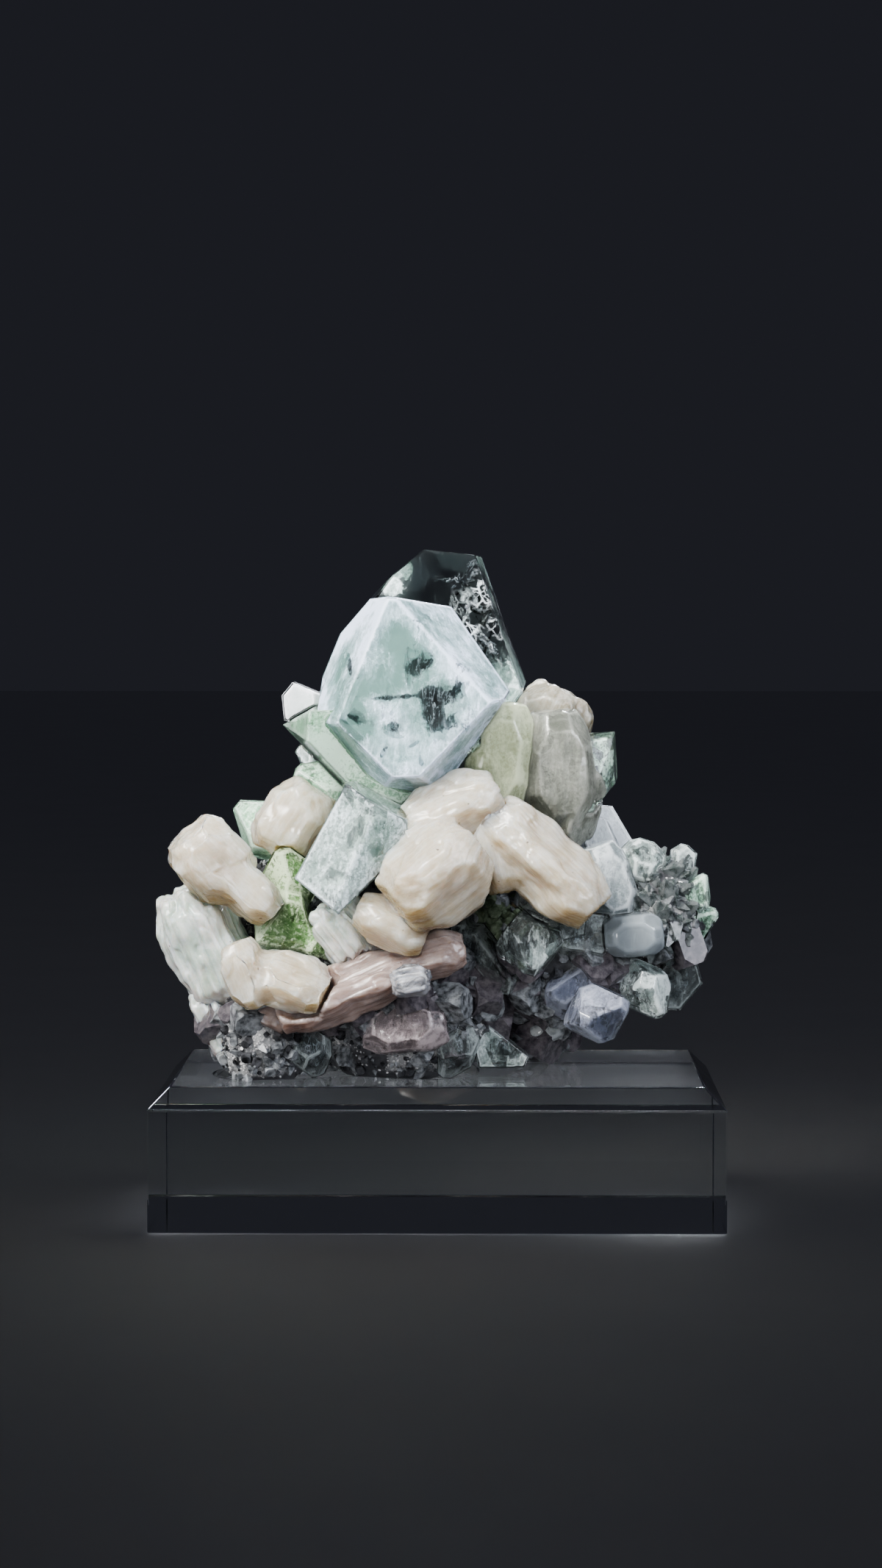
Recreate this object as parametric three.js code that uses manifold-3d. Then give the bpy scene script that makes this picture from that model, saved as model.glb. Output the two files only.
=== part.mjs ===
// Apophyllite cluster with stilbite on basalt, seated in a clear acrylic block.
//
// Millimetres, +Z up. X runs along the long side of the block and Y runs to the back.
// The origin is the centre of the block's underside.
//
// Every crystal is described by its habit (the flat-faced or sheaf-like form it grows in),
// the place of its centre and the way it points. Crystals of one kind that grew through
// each other are one solid. Where two pieces meet, the later one is cut back from the
// earlier one, so the crystals sit on the basalt and the basalt sits in the block's pocket.

import * as THREE from "three";
import { ConvexGeometry } from "three/addons/geometries/ConvexGeometry.js";
import { mergeVertices } from "three/addons/utils/BufferGeometryUtils.js";
import Module from "manifold-3d";

const wasm = await Module();
wasm.setup();

// ---------------------------------------------------------------- driving dimensions

const SEAM = 0.3; // clearance between pieces that touch
const BLOCK = { length: 120, depth: 70, height: 30, bevel: 4.4 };
const POCKET_DEPTH = 2; // the routed seat in the block's top face
const TOP_HEIGHT = 141.6; // the tip of the tallest crystal

// Apophyllite is tetragonal: its pyramid faces lean this far from the long axis' normal plane.
const PYRAMID_ANGLE = THREE.MathUtils.degToRad(60.4);

// ---------------------------------------------------------------- finishes

const finish = (color, roughness, metalness = 0) =>
  new THREE.MeshStandardMaterial({ color, roughness, metalness });

const FINISHES = {
  milky: finish("#d5e3de", 0.12),
  clear: finish("#9fb3b2", 0.05),
  mint: finish("#a9cdaa", 0.12),
  green: finish("#5f9250", 0.1),
  grey: finish("#9aa3b8", 0.15),
  smoky: finish("#6c7076", 0.2),
  olive: finish("#a9ac8f", 0.3),
  cream: finish("#e3d8cb", 0.4),
  peach: finish("#d9b995", 0.45),
  pearly: finish("#d8ddd6", 0.3),
  basalt: finish("#2b2a2c", 0.9),
  acrylic: finish("#dfe6ea", 0.03),
};

// ---------------------------------------------------------------- solids

const vector = ([x, y, z]) => new THREE.Vector3(x, y, z);

/** Turns a closed three.js geometry into a manifold solid. */
function solidOf(geometry) {
  const bare = geometry.index ? geometry.toNonIndexed() : geometry.clone();
  bare.deleteAttribute("normal");
  bare.deleteAttribute("uv");
  const merged = mergeVertices(bare, 1e-4);
  const vertProperties = new Float32Array(merged.attributes.position.array);
  const triVerts = new Uint32Array(merged.index.array);
  const solid = new wasm.Manifold(new wasm.Mesh({ numProp: 3, vertProperties, triVerts }));
  if (solid.isEmpty()) throw new Error("a form is not one closed body");
  return solid;
}

/** Turns a manifold solid back into a three.js geometry. */
function geometryOf(solid) {
  const { vertProperties, triVerts } = solid.getMesh();
  const geometry = new THREE.BufferGeometry();
  geometry.setAttribute("position", new THREE.BufferAttribute(vertProperties, 3));
  geometry.setIndex(new THREE.BufferAttribute(triVerts, 1));
  geometry.computeVertexNormals();
  return geometry;
}

const joined = (solids) => solids.reduce((whole, solid) => whole.add(solid));

/** Keeps the largest of the bodies that a cut leaves. */
function largestBody(solid) {
  const bodies = solid.decompose();
  return bodies.reduce((best, body) => (body.volume() > best.volume() ? body : best));
}

/** True where two solids' boxes come within a seam of each other. */
function near(a, b) {
  const [boxA, boxB] = [a.boundingBox(), b.boundingBox()];
  return [0, 1, 2].every((i) => boxA.min[i] < boxB.max[i] + SEAM && boxB.min[i] < boxA.max[i] + SEAM);
}

/** A turned frame whose Z is `along` and whose Y leans towards `facing`. */
function frameOf(along, facing = [0, -1, 0.01]) {
  const z = vector(along).normalize();
  const y = vector(facing).addScaledVector(z, -z.dot(vector(facing))).normalize();
  const x = new THREE.Vector3().crossVectors(y, z);
  return new THREE.Matrix4().makeBasis(x, y, z);
}

// ---------------------------------------------------------------- crystal habits
// Each habit returns a function of `grow`, the distance its faces are moved outwards.

const CORNER_LIMIT = 1e-3; // a corner this far outside a face is cut off by it
const CORNER_MERGE = 0.02; // corners closer than this are one

/** The convex solid inside a set of faces, each { normal, distance } from `at`. */
function insideFaces(at, faces) {
  const corners = [];
  for (let i = 0; i < faces.length; i++) {
    for (let j = i + 1; j < faces.length; j++) {
      for (let k = j + 1; k < faces.length; k++) {
        const corner = meeting(faces[i], faces[j], faces[k]);
        const inside = corner && faces.every((f) => f.normal.dot(corner) < f.distance + CORNER_LIMIT);
        const known = corner && corners.some((other) => other.distanceTo(corner) < CORNER_MERGE);
        if (inside && !known) corners.push(corner);
      }
    }
  }
  return solidOf(new ConvexGeometry(corners).translate(...at));
}

/** The point where three faces meet, or null where they run along each other. */
function meeting(a, b, c) {
  const bc = new THREE.Vector3().crossVectors(b.normal, c.normal);
  const room = a.normal.dot(bc);
  if (Math.abs(room) < 1e-3) return null;
  const ca = new THREE.Vector3().crossVectors(c.normal, a.normal);
  const ab = new THREE.Vector3().crossVectors(a.normal, b.normal);
  return bc
    .multiplyScalar(a.distance)
    .addScaledVector(ca, b.distance)
    .addScaledVector(ab, c.distance)
    .divideScalar(room);
}

/** A face that looks along `normal` and passes through `point`. */
const through = (normal, point) => ({ normal, point });

/** A large crystal with every face placed by hand. */
const facetted = (at, faces) => (grow) =>
  insideFaces(
    at,
    faces.map(({ normal, point }) => {
      const unit = vector(normal).normalize();
      return { normal: unit, distance: unit.dot(vector(point).sub(vector(at))) + grow };
    }),
  );

/** An apophyllite crystal: a square prism with a blunt pyramid and a flat cap on both ends. */
const tetragonal = ({ at, tip = [0, 0, 1], facing, spin = 0, width, length, cap = length, squash = 1 }) =>
  (grow) => {
    const frame = frameOf(tip, facing);
    const faces = [];
    const add = (x, y, z, distance) => {
      const normal = new THREE.Vector3(x, y, z).applyMatrix4(frame);
      faces.push({ normal, distance: distance + grow });
    };
    for (let quarter = 0; quarter < 4; quarter++) {
      const side = THREE.MathUtils.degToRad(spin + 45 + 90 * quarter);
      const reach = (width / 2) * (quarter % 2 ? squash : 1);
      add(Math.cos(side), Math.sin(side), 0, reach);
      const slope = THREE.MathUtils.degToRad(spin + 90 * quarter);
      for (const end of [1, -1]) {
        const flat = Math.sin(PYRAMID_ANGLE);
        const rise = Math.cos(PYRAMID_ANGLE);
        add(flat * Math.cos(slope), flat * Math.sin(slope), end * rise, (length / 2) * rise);
      }
    }
    add(0, 0, 1, cap / 2);
    add(0, 0, -1, cap / 2);
    return insideFaces(at, faces);
  };

/** A flat blade with a roof-like point on both ends. */
const blade = ({ at, along, facing, length, width, thickness, point = 35 }) => (grow) => {
  const frame = frameOf(along, facing);
  const lean = THREE.MathUtils.degToRad(point);
  const faces = [];
  const add = (x, y, z, distance) => {
    const normal = new THREE.Vector3(x, y, z).applyMatrix4(frame);
    faces.push({ normal, distance: distance + grow });
  };
  for (const side of [1, -1]) {
    add(side, 0, 0, width / 2);
    add(0, side, 0, thickness / 2);
    for (const end of [1, -1]) {
      add(side * Math.sin(lean), 0, end * Math.cos(lean), (length / 2) * Math.cos(lean));
    }
  }
  return insideFaces(at, faces);
};

/** A stilbite sheaf: a stack of plates that faces `facing`, with its edges and corners worn away. */
const sheaf = ({ at, along, facing, length, width, thickness, worn = 0.16 }) => (grow) => {
  const frame = frameOf(along, facing);
  const half = [width / 2, thickness / 2, length / 2];
  const faces = [];
  const signs = [-1, 0, 1];
  for (const x of signs) {
    for (const y of signs) {
      for (const z of signs) {
        const count = Math.abs(x) + Math.abs(y) + Math.abs(z);
        if (count === 0) continue;
        const normal = new THREE.Vector3(x / half[0], y / half[1], z / half[2]).normalize();
        const reach = half.reduce((sum, side, axis) => sum + side * Math.abs(normal.getComponent(axis)), 0);
        const distance = reach * (1 - worn * (count - 1)) + grow;
        faces.push({ normal: normal.applyMatrix4(frame), distance });
      }
    }
  }
  return insideFaces(at, faces);
};

/** A lump of basalt: a ball with uneven sides. */
const lump = (at, radii) => (grow) => {
  const geometry = new THREE.IcosahedronGeometry(1, 1);
  const position = geometry.attributes.position;
  const p = new THREE.Vector3();
  const unevenness = 0.07;
  for (let i = 0; i < position.count; i++) {
    p.fromBufferAttribute(position, i);
    p.multiplyScalar(1 + unevenness * Math.sin(7 * p.x + 2 * p.z) * Math.cos(6 * p.y - 4 * p.z));
    position.setXYZ(i, ...radii.map((radius, axis) => p.getComponent(axis) * (radius + grow)));
  }
  return solidOf(geometry.translate(...at));
};

// ---------------------------------------------------------------- apophyllite, upper group

const crystals = [
  {
    // The milky crystal at the front: a broad kite-shaped face with narrow faces round it.
    name: "apophyllite_main",
    finish: "milky",
    forms: [
      facetted([-6, -10, 110], [
        through([0, -0.985, 0.17], [-6, -27, 111]),
        through([-0.82, -0.41, 0.4], [-16.2, -26, 117.4]),
        through([-0.85, 0.45, 0.27], [-23, -8, 113]),
        through([-0.99, 0.05, 0.09], [-25.2, -10, 106]),
        through([-0.68, -0.32, -0.66], [-16, -28.8, 100.6]),
        through([-0.43, 0.25, -0.87], [-15, -10, 97]),
        through([0.7, -0.35, -0.62], [2, -28, 99.5]),
        through([0.66, 0.35, -0.66], [6.5, -8, 100]),
        through([0.61, -0.47, 0.64], [1.5, -25.4, 120.4]),
        through([0.84, 0.2, 0.5], [10.5, -10, 116]),
        through([0.83, 0, -0.56], [12.3, -10, 107.5]),
        through([0.03, -0.25, -0.97], [-5.4, -28.5, 93.9]),
        through([0.07, 0.1, 0.99], [-8, -12, 130.3]),
        through([-0.7, 0.1, 0.7], [-17.3, -12, 127.5]),
        through([0, 1, 0], [0, 6, 110]),
      ]),
    ],
  },
  {
    // The tallest crystal, clear at its tip, standing behind the milky one.
    name: "apophyllite_rear",
    finish: "clear",
    forms: [
      facetted([0, 13, 120], [
        through([0.11, 0, 0.994], [2.3, 14, TOP_HEIGHT - 0.5]),
        through([0.935, -0.05, 0.345], [12.9, 8, 127]),
        through([0.8, 0, -0.6], [17, 12, 110]),
        through([-0.64, 0, 0.77], [-8.3, 12, 137.6]),
        through([-0.79, -0.05, 0.61], [-16.2, 12, 129]),
        through([-0.97, 0.1, -0.1], [-20, 12, 118]),
        through([0.05, -0.94, 0.342], [0, -1, 131]),
        through([0.05, 0.97, -0.2], [0, 26, 126]),
        through([0, 1, -0.1], [0, 28, 115]),
        through([0, -1, 0.05], [0, -7, 110]),
        through([0.1, 0.68, -0.73], [0, 23, 104]),
        through([0.55, 0.1, -0.82], [11, 10, 104]),
        through([-0.55, 0.1, -0.82], [-13, 12, 104]),
        through([0, 0, -1], [0, 12, 99]),
      ]),
    ],
  },
  {
    // The green crystal that shows as a band along the milky crystal's lower edges.
    name: "apophyllite_skirt",
    finish: "mint",
    forms: [
      facetted([-12, -2, 103], [
        through([-0.72, -0.1, -0.69], [-25.7, -8, 97.6]),
        through([-0.35, -0.1, -0.93], [-14, -8, 89.2]),
        through([0.6, -0.1, -0.79], [-2, -8, 91]),
        through([0.1, -0.95, -0.3], [-14, -20, 95]),
        through([-1, -0.2, 0], [-32, 0, 102]),
        through([-0.5, 0, 0.86], [-31, 0, 105.5]),
        through([1, 0, 0], [9, 0, 100]),
        through([0, 0, 1], [0, 0, 108]),
        through([0, 1, 0], [0, 14, 100]),
      ]),
    ],
  },
  {
    name: "apophyllite_left_spur",
    finish: "milky",
    forms: [
      facetted([-29, 4, 108], [
        through([0, -1, 0.05], [-30, -1, 108]),
        through([0.38, 0, 0.92], [-29.2, 0, 112.2]),
        through([-0.77, 0, 0.63], [-32.6, 0, 111.8]),
        through([-0.99, 0, -0.1], [-33.5, 0, 107.5]),
        through([-0.27, 0, -0.96], [-30, 0, 104.1]),
        through([0.85, -0.5, 0.05], [-26.6, -1, 107]),
        through([1, 0, 0], [-21, 4, 108]),
        through([0, 1, 0], [-29, 9, 108]),
      ]),
    ],
  },
  {
    name: "apophyllite_left_chip",
    finish: "milky",
    forms: [
      tetragonal({ at: [-27.5, 7, 96.5], tip: [-0.8, 0, 0.5], spin: 10, width: 7, length: 11, cap: 8 }),
    ],
  },
  {
    name: "apophyllite_under_left",
    finish: "mint",
    forms: [
      tetragonal({ at: [-23, 4, 89.5], tip: [-0.8, -0.3, 0.5], spin: 45, width: 13, length: 23,
        cap: 19 }),
    ],
  },
  {
    name: "apophyllite_left_back",
    finish: "mint",
    forms: [
      tetragonal({ at: [-37.5, 12, 80.4], tip: [-0.75, 0.1, 0.6], spin: 20, width: 13, length: 22,
        cap: 18 }),
    ],
  },
  {
    // The pale glassy crystal in the middle, an edge-on pair of faces to the front.
    name: "apophyllite_centre",
    finish: "milky",
    forms: [
      facetted([-17, -22, 79.5], [
        through([-0.45, -0.85, 0.25], [-16, -33.5, 80]),
        through([0.4, -0.9, -0.1], [-16, -33.5, 80]),
        through([-0.87, 0.15, 0.47], [-23.8, -24, 82.8]),
        through([0.51, -0.1, 0.86], [-12.2, -26, 89.4]),
        through([1, -0.05, 0], [-6, -26, 83]),
        through([0.68, 0.1, -0.73], [-13.8, -26, 73.2]),
        through([-0.64, -0.1, -0.77], [-25.5, -26, 69.4]),
        through([0, 1, 0], [0, -10, 80]),
      ]),
    ],
  },
  {
    // Two deep green crystals grown together under the left stilbite.
    name: "apophyllite_green",
    finish: "green",
    forms: [
      tetragonal({ at: [-32.6, -11, 61.2], tip: [0.25, -0.5, 0.8], spin: 15, width: 19, length: 24,
        cap: 17.5 }),
      tetragonal({ at: [-31.6, -9, 71], tip: [-0.2, -0.3, 0.9], spin: 50, width: 12, length: 20,
        cap: 15 }),
      tetragonal({ at: [-24.5, -14, 58], tip: [0.1, -0.8, 0.5], spin: 0, width: 8.5, length: 12,
        cap: 10 }),
    ],
  },
  {
    name: "apophyllite_right_green",
    finish: "mint",
    forms: [
      facetted([30, 1, 94], [
        through([-0.08, -0.1, 1], [34, 0, 101.6]),
        through([1, -0.1, 0.05], [37.8, 0, 96]),
        through([0.75, 0, -0.66], [35.3, 0, 88.6]),
        through([0.3, -0.92, 0.2], [33, -6, 95]),
        through([0.78, -0.62, -0.1], [36.4, -3.6, 94]),
        through([0, 0, -1], [30, 0, 85.5]),
        through([0.2, 1, 0.1], [30, 8, 94]),
        through([-1, 0, 0], [23, 0, 94]),
      ]),
    ],
  },

  // -------------------------------------------------------------- apophyllite, right group

  {
    name: "apophyllite_clear_low",
    finish: "clear",
    forms: [
      tetragonal({ at: [19.4, -18, 58.8], tip: [-0.35, -0.75, 0.55], spin: 20, width: 14.5,
        length: 22, cap: 16 }),
    ],
  },
  {
    name: "apophyllite_grey_block",
    finish: "grey",
    forms: [
      tetragonal({ at: [43.8, -3, 74.2], tip: [-0.55, -0.2, 0.8], spin: 35, width: 9.6, length: 18,
        cap: 11 }),
    ],
  },
  {
    name: "apophyllite_far_right",
    finish: "mint",
    forms: [
      tetragonal({ at: [55, -1, 61.8], tip: [0.8, -0.3, 0.35], spin: 25, width: 9, length: 13.5,
        cap: 11 }),
      tetragonal({ at: [54.8, -3, 67.4], tip: [0.4, -0.3, 0.85], spin: 0, width: 9, length: 13,
        cap: 11 }),
    ],
  },
  {
    name: "apophyllite_drop",
    finish: "clear",
    forms: [
      tetragonal({ at: [44, -11.2, 48.5], tip: [0.45, -0.35, -0.8], spin: 30, width: 10.4,
        length: 18, cap: 14 }),
    ],
  },
  {
    name: "apophyllite_blue_low",
    finish: "grey",
    forms: [
      tetragonal({ at: [33.4, -17, 43.8], tip: [0.75, -0.5, 0.3], spin: 42, width: 12.6,
        length: 20, cap: 15.5 }),
    ],
  },
  {
    name: "apophyllite_lavender",
    finish: "grey",
    forms: [
      tetragonal({ at: [28, -9, 47.5], tip: [0.5, -0.45, 0.7], spin: 10, width: 14.5, length: 20,
        cap: 15 }),
    ],
  },
  {
    name: "crystal_rounded_block",
    finish: "grey",
    forms: [
      sheaf({ at: [41.4, -13, 60], along: [1, 0, 0.08], facing: [0, -1, 0], length: 12, width: 8.2,
        thickness: 10 }),
    ],
  },
  {
    name: "blade_far_right",
    finish: "grey",
    forms: [
      blade({ at: [52.5, 4.5, 72.6], along: [0.12, 0, 1], facing: [0.4, -1, 0], length: 11, width: 4.6,
        thickness: 4 }),
    ],
  },
  {
    name: "blade_dark_right",
    finish: "smoky",
    forms: [
      blade({ at: [50.4, 1, 48.8], along: [0.62, 0, 0.75], facing: [0.2, -1, 0], length: 14, width: 9,
        thickness: 8 }),
    ],
  },
  {
    name: "blade_grey_green",
    finish: "smoky",
    forms: [
      blade({ at: [24, -19, 66.4], along: [0.72, 0, -0.62], facing: [-0.2, -1, 0.3], length: 18,
        width: 9,
        thickness: 5 }),
    ],
  },
  {
    name: "blade_grey_behind",
    finish: "smoky",
    forms: [
      blade({ at: [31, -12, 59.8], along: [1, 0, -0.15], facing: [0.1, -1, 0.4], length: 15, width: 9,
        thickness: 6 }),
    ],
  },
  {
    // A pair of flat blades that hang side by side under the right stilbite.
    name: "blades_dark_pair",
    finish: "smoky",
    forms: [
      blade({ at: [11, -11.5, 54.6], along: [0.6, 0, -0.8], facing: [-0.5, -1, 0], length: 17, width: 5,
        thickness: 7 }),
      blade({ at: [7.6, -10, 57.6], along: [0.6, 0.05, -0.8], facing: [-0.4, -1, 0], length: 14,
        width: 4.2,
        thickness: 7 }),
    ],
  },
  {
    name: "blades_pale_right",
    finish: "pearly",
    forms: [
      blade({ at: [35.8, 4, 79.4], along: [-0.5, 0, 0.85], facing: [0.5, -1, 0.2], length: 16, width: 8,
        thickness: 6 }),
      blade({ at: [33.6, 0, 78.6], along: [-0.4, 0, 0.9], facing: [0.4, -1, 0.1], length: 13, width: 7,
        thickness: 7 }),
    ],
  },
  {
    name: "crystal_pale_wedge",
    finish: "pearly",
    forms: [
      sheaf({ at: [35.6, -7, 70.6], along: [0.3, 0, -1], facing: [0.3, -1, 0], length: 17, width: 10.4,
        thickness: 12 }),
    ],
  },

  // -------------------------------------------------------------- crystals round the foot

  {
    name: "blade_triangular",
    finish: "grey",
    forms: [
      facetted([13, -7, 36.5], [
        through([0.12, -0.97, 0.2], [13, -11, 37]),
        through([0, 1, 0], [13, -4, 37]),
        through([-0.98, 0, -0.2], [7.4, -8, 37]),
        through([0.62, 0, 0.78], [13, -8, 38.6]),
        through([0, 0, -1], [13, -8, 31.4]),
        through([0.9, 0, -0.4], [19, -8, 33]),
      ]),
    ],
  },
  {
    name: "crystal_grey_foot",
    finish: "smoky",
    forms: [
      tetragonal({ at: [3.6, -13, 36.6], tip: [0.3, -0.2, 0.9], spin: 35, width: 9.5, length: 19,
        cap: 15 }),
    ],
  },
  {
    name: "crystal_glassy_foot",
    finish: "smoky",
    forms: [
      tetragonal({ at: [-27.6, -17, 36.3], tip: [-0.3, -0.3, 0.9], spin: 20, width: 10, length: 18,
        cap: 13 }),
    ],
  },
  {
    name: "chalcedony_pink",
    finish: "pearly",
    forms: [
      sheaf({ at: [-7.4, -16, 40.8], along: [1, 0, 0.1], facing: [0, -1, 0.2], length: 18, width: 11,
        thickness: 15 }),
    ],
  },
  {
    name: "pebble_grey",
    finish: "pearly",
    forms: [
      sheaf({ at: [23.4, 4, 37.6], along: [1, 0, 0.1], facing: [0, -1, 0], length: 7.4, width: 4,
        thickness: 7 }),
    ],
  },

  // -------------------------------------------------------------- rounded pale columns

  {
    name: "column_olive",
    finish: "olive",
    forms: [
      sheaf({ at: [12.6, -8, 97], along: [0.12, 0.05, 1], facing: [0, -1, 0], length: 24, width: 13,
        thickness: 15 }),
    ],
  },
  {
    name: "column_grey",
    finish: "olive",
    forms: [
      sheaf({ at: [24.7, -4, 94.4], along: [-0.06, 0, 1], facing: [0.2, -1, 0], length: 25.4,
        width: 14.8,
        thickness: 18 }),
      blade({ at: [30, -7, 86.2], along: [0.3, 0, 0.95], facing: [0.8, -0.6, 0], length: 17, width: 9,
        thickness: 4.4 }),
    ],
  },
];

// ---------------------------------------------------------------- stilbite sheaves

const sheaves = [
  {
    // The three lobes in the middle of the specimen.
    name: "stilbite_centre",
    finish: "cream",
    forms: [
      sheaf({ at: [-0.4, -29.5, 74.2], along: [-0.75, -0.15, -0.6], facing: [0.1, -0.4, 0.9],
        length: 20.5,
        width: 18, thickness: 17.4 }),
      sheaf({ at: [2.6, -22, 86.6], along: [0.92, 0.1, 0.4], facing: [-0.1, -0.5, 0.85], length: 21.4,
        width: 14, thickness: 11.6 }),
      sheaf({ at: [-9.6, -25.5, 63.4], along: [0.85, 0, -0.4], facing: [0, -0.6, 0.8], length: 15.4,
        width: 10, thickness: 8.2 }),
    ],
  },
  {
    // The long blade-like sheaf on the right and the lobe that it springs from.
    name: "stilbite_right",
    finish: "cream",
    forms: [
      sheaf({ at: [22, -23.5, 76.2], along: [0.72, -0.1, -0.69], facing: [0.4, -0.6, 0.65],
        length: 29.6,
        width: 14.2, thickness: 12.6 }),
      sheaf({ at: [12, -22, 79.5], along: [0.25, 0, -0.97], facing: [0, -1, 0.2], length: 19, width: 10,
        thickness: 12 }),
    ],
  },
  {
    name: "stilbite_left",
    finish: "cream",
    forms: [
      sheaf({ at: [-47.6, -17, 76.1], along: [-0.6, -0.2, 0.7], facing: [0.2, -0.95, 0.1], length: 18,
        width: 16.4, thickness: 15 }),
      sheaf({ at: [-40.6, -18, 69.8], along: [0.72, 0, -0.65], facing: [0.1, -0.9, 0.3], length: 17.5,
        width: 10.6, thickness: 12 }),
    ],
  },
  {
    name: "stilbite_upper_left",
    finish: "cream",
    forms: [
      sheaf({ at: [-31, -4, 83.4], along: [0.55, 0, 0.83], facing: [-0.2, -0.9, 0.2], length: 16.8,
        width: 13.4, thickness: 14 }),
    ],
  },
  {
    name: "stilbite_lower_left",
    finish: "cream",
    forms: [
      sheaf({ at: [-39.6, -27, 53], along: [0.35, 0, -0.93], facing: [-0.3, -0.9, 0.1], length: 15.5,
        width: 9.5, thickness: 13 }),
      sheaf({ at: [-30.4, -27, 51.4], along: [0.9, -0.1, -0.35], facing: [0.1, -0.6, 0.8], length: 16.5,
        width: 14, thickness: 10.5 }),
    ],
  },
  {
    name: "stilbite_long",
    finish: "peach",
    forms: [
      sheaf({ at: [-18.6, -24, 49.6], along: [0.92, 0.05, 0.38], facing: [0, -0.6, 0.8], length: 31,
        width: 11, thickness: 8.4 }),
      sheaf({ at: [-1.8, -22.5, 56.4], along: [0.97, 0, 0.2], facing: [0, -0.6, 0.8], length: 15.5,
        width: 10, thickness: 7.6 }),
    ],
  },
  {
    name: "stilbite_top_right",
    finish: "cream",
    forms: [
      sheaf({ at: [24, 10, 103.6], along: [0.45, 0, 0.9], facing: [-0.2, -0.95, 0.1], length: 16,
        width: 15.6, thickness: 12 }),
    ],
  },
  {
    // The tall striated mass at the lower left.
    name: "stilbite_left_low",
    finish: "pearly",
    forms: [
      sheaf({ at: [-49.2, -10, 57.4], along: [0.4, 0.05, -0.92], facing: [-0.3, -0.95, 0], length: 25.5,
        width: 15, thickness: 16 }),
    ],
  },
  {
    name: "stilbite_left_edge",
    finish: "pearly",
    forms: [
      sheaf({ at: [-46.4, -12, 41.4], along: [0.5, 0, -0.86], facing: [-0.5, -0.85, 0], length: 16,
        width: 6.6, thickness: 9 }),
    ],
  },
  {
    name: "stilbite_peach_small",
    finish: "peach",
    forms: [
      sheaf({ at: [-34.8, -23, 44], along: [0.95, 0, -0.25], facing: [0, -0.8, 0.6], length: 8.4,
        width: 7,
        thickness: 5.6 }),
    ],
  },
  {
    // Silvery blades fanned out under the central crystal.
    name: "stilbite_silver_fan",
    finish: "pearly",
    forms: [
      sheaf({ at: [-17.8, -16.5, 60.4], along: [0.6, -0.1, -0.78], facing: [0.5, -0.6, 0.6],
        length: 16.5,
        width: 13, thickness: 10 }),
    ],
  },
  {
    name: "stilbite_silver_small",
    finish: "pearly",
    forms: [
      sheaf({ at: [-5.6, -29, 51.8], along: [1, 0, 0.12], facing: [0, -0.8, 0.6], length: 8, width: 6.4,
        thickness: 5 }),
    ],
  },
];

// ---------------------------------------------------------------- the back of the specimen

const backCrystals = [
  {
    name: "apophyllite_back_tall",
    finish: "mint",
    forms: [
      tetragonal({ at: [-14, 20, 93], tip: [-0.3, 0.6, 0.75], spin: 15, width: 19, length: 30,
        cap: 23 }),
    ],
  },
  {
    name: "apophyllite_back_right",
    finish: "milky",
    forms: [
      tetragonal({ at: [14, 24, 84], tip: [0.45, 0.65, 0.6], spin: 35, width: 15, length: 25,
        cap: 20 }),
    ],
  },
  {
    name: "apophyllite_back_low",
    finish: "clear",
    forms: [
      tetragonal({ at: [-4, 24, 60], tip: [0.2, 0.9, 0.3], spin: 10, width: 16, length: 23, cap: 18 }),
    ],
  },
  {
    name: "apophyllite_back_left",
    finish: "green",
    forms: [
      tetragonal({ at: [-37, 17, 61], tip: [-0.45, 0.75, 0.4], spin: 25, width: 14, length: 22,
        cap: 17 }),
    ],
  },
  {
    name: "apophyllite_back_foot",
    finish: "grey",
    forms: [
      tetragonal({ at: [30, 16, 54], tip: [0.55, 0.75, 0.2], spin: 5, width: 12, length: 18, cap: 14 }),
    ],
  },
  {
    name: "apophyllite_back_middle",
    finish: "milky",
    forms: [
      tetragonal({ at: [2, 21, 74], tip: [0.3, 0.9, 0.35], spin: 30, width: 15, length: 24, cap: 17 }),
    ],
  },
  {
    name: "apophyllite_back_far_right",
    finish: "grey",
    forms: [
      tetragonal({ at: [46, 11, 60], tip: [0.45, 0.85, 0.3], spin: 20, width: 11, length: 17,
        cap: 13 }),
    ],
  },
  {
    name: "apophyllite_back_upper_right",
    finish: "mint",
    forms: [
      tetragonal({ at: [26, 14, 87], tip: [0.7, 0.65, 0.3], spin: 40, width: 12, length: 20, cap: 15 }),
    ],
  },
  {
    name: "apophyllite_back_foot_left",
    finish: "smoky",
    forms: [
      tetragonal({ at: [-43, 2, 43], tip: [-0.6, 0.6, 0.5], spin: 10, width: 10, length: 16, cap: 12 }),
    ],
  },
  {
    name: "stilbite_back_side",
    finish: "cream",
    forms: [
      sheaf({ at: [-44, 6, 68], along: [-0.5, 0.2, 0.85], facing: [-0.6, 0.75, 0], length: 19,
        width: 12,
        thickness: 10 }),
    ],
  },
  {
    name: "stilbite_back_foot",
    finish: "cream",
    forms: [
      sheaf({ at: [8, 14, 44], along: [0.9, 0.1, 0.35], facing: [0.1, 0.9, -0.3], length: 20, width: 11,
        thickness: 10 }),
    ],
  },
  {
    name: "stilbite_back_left",
    finish: "cream",
    forms: [
      sheaf({ at: [-22, 22, 74], along: [-0.7, 0.3, 0.6], facing: [0.2, 0.9, 0.3], length: 24,
        width: 15,
        thickness: 13 }),
    ],
  },
  {
    name: "stilbite_back_right",
    finish: "cream",
    forms: [
      sheaf({ at: [15, 25, 69], along: [0.8, 0.1, -0.55], facing: [0.2, 0.9, 0.4], length: 25,
        width: 14,
        thickness: 12 }),
    ],
  },
  {
    name: "stilbite_back_low",
    finish: "peach",
    forms: [
      sheaf({ at: [-22, 17, 47], along: [0.9, 0.2, -0.3], facing: [0, 0.8, 0.5], length: 20, width: 12,
        thickness: 10 }),
    ],
  },
];

// ---------------------------------------------------------------- basalt

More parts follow.
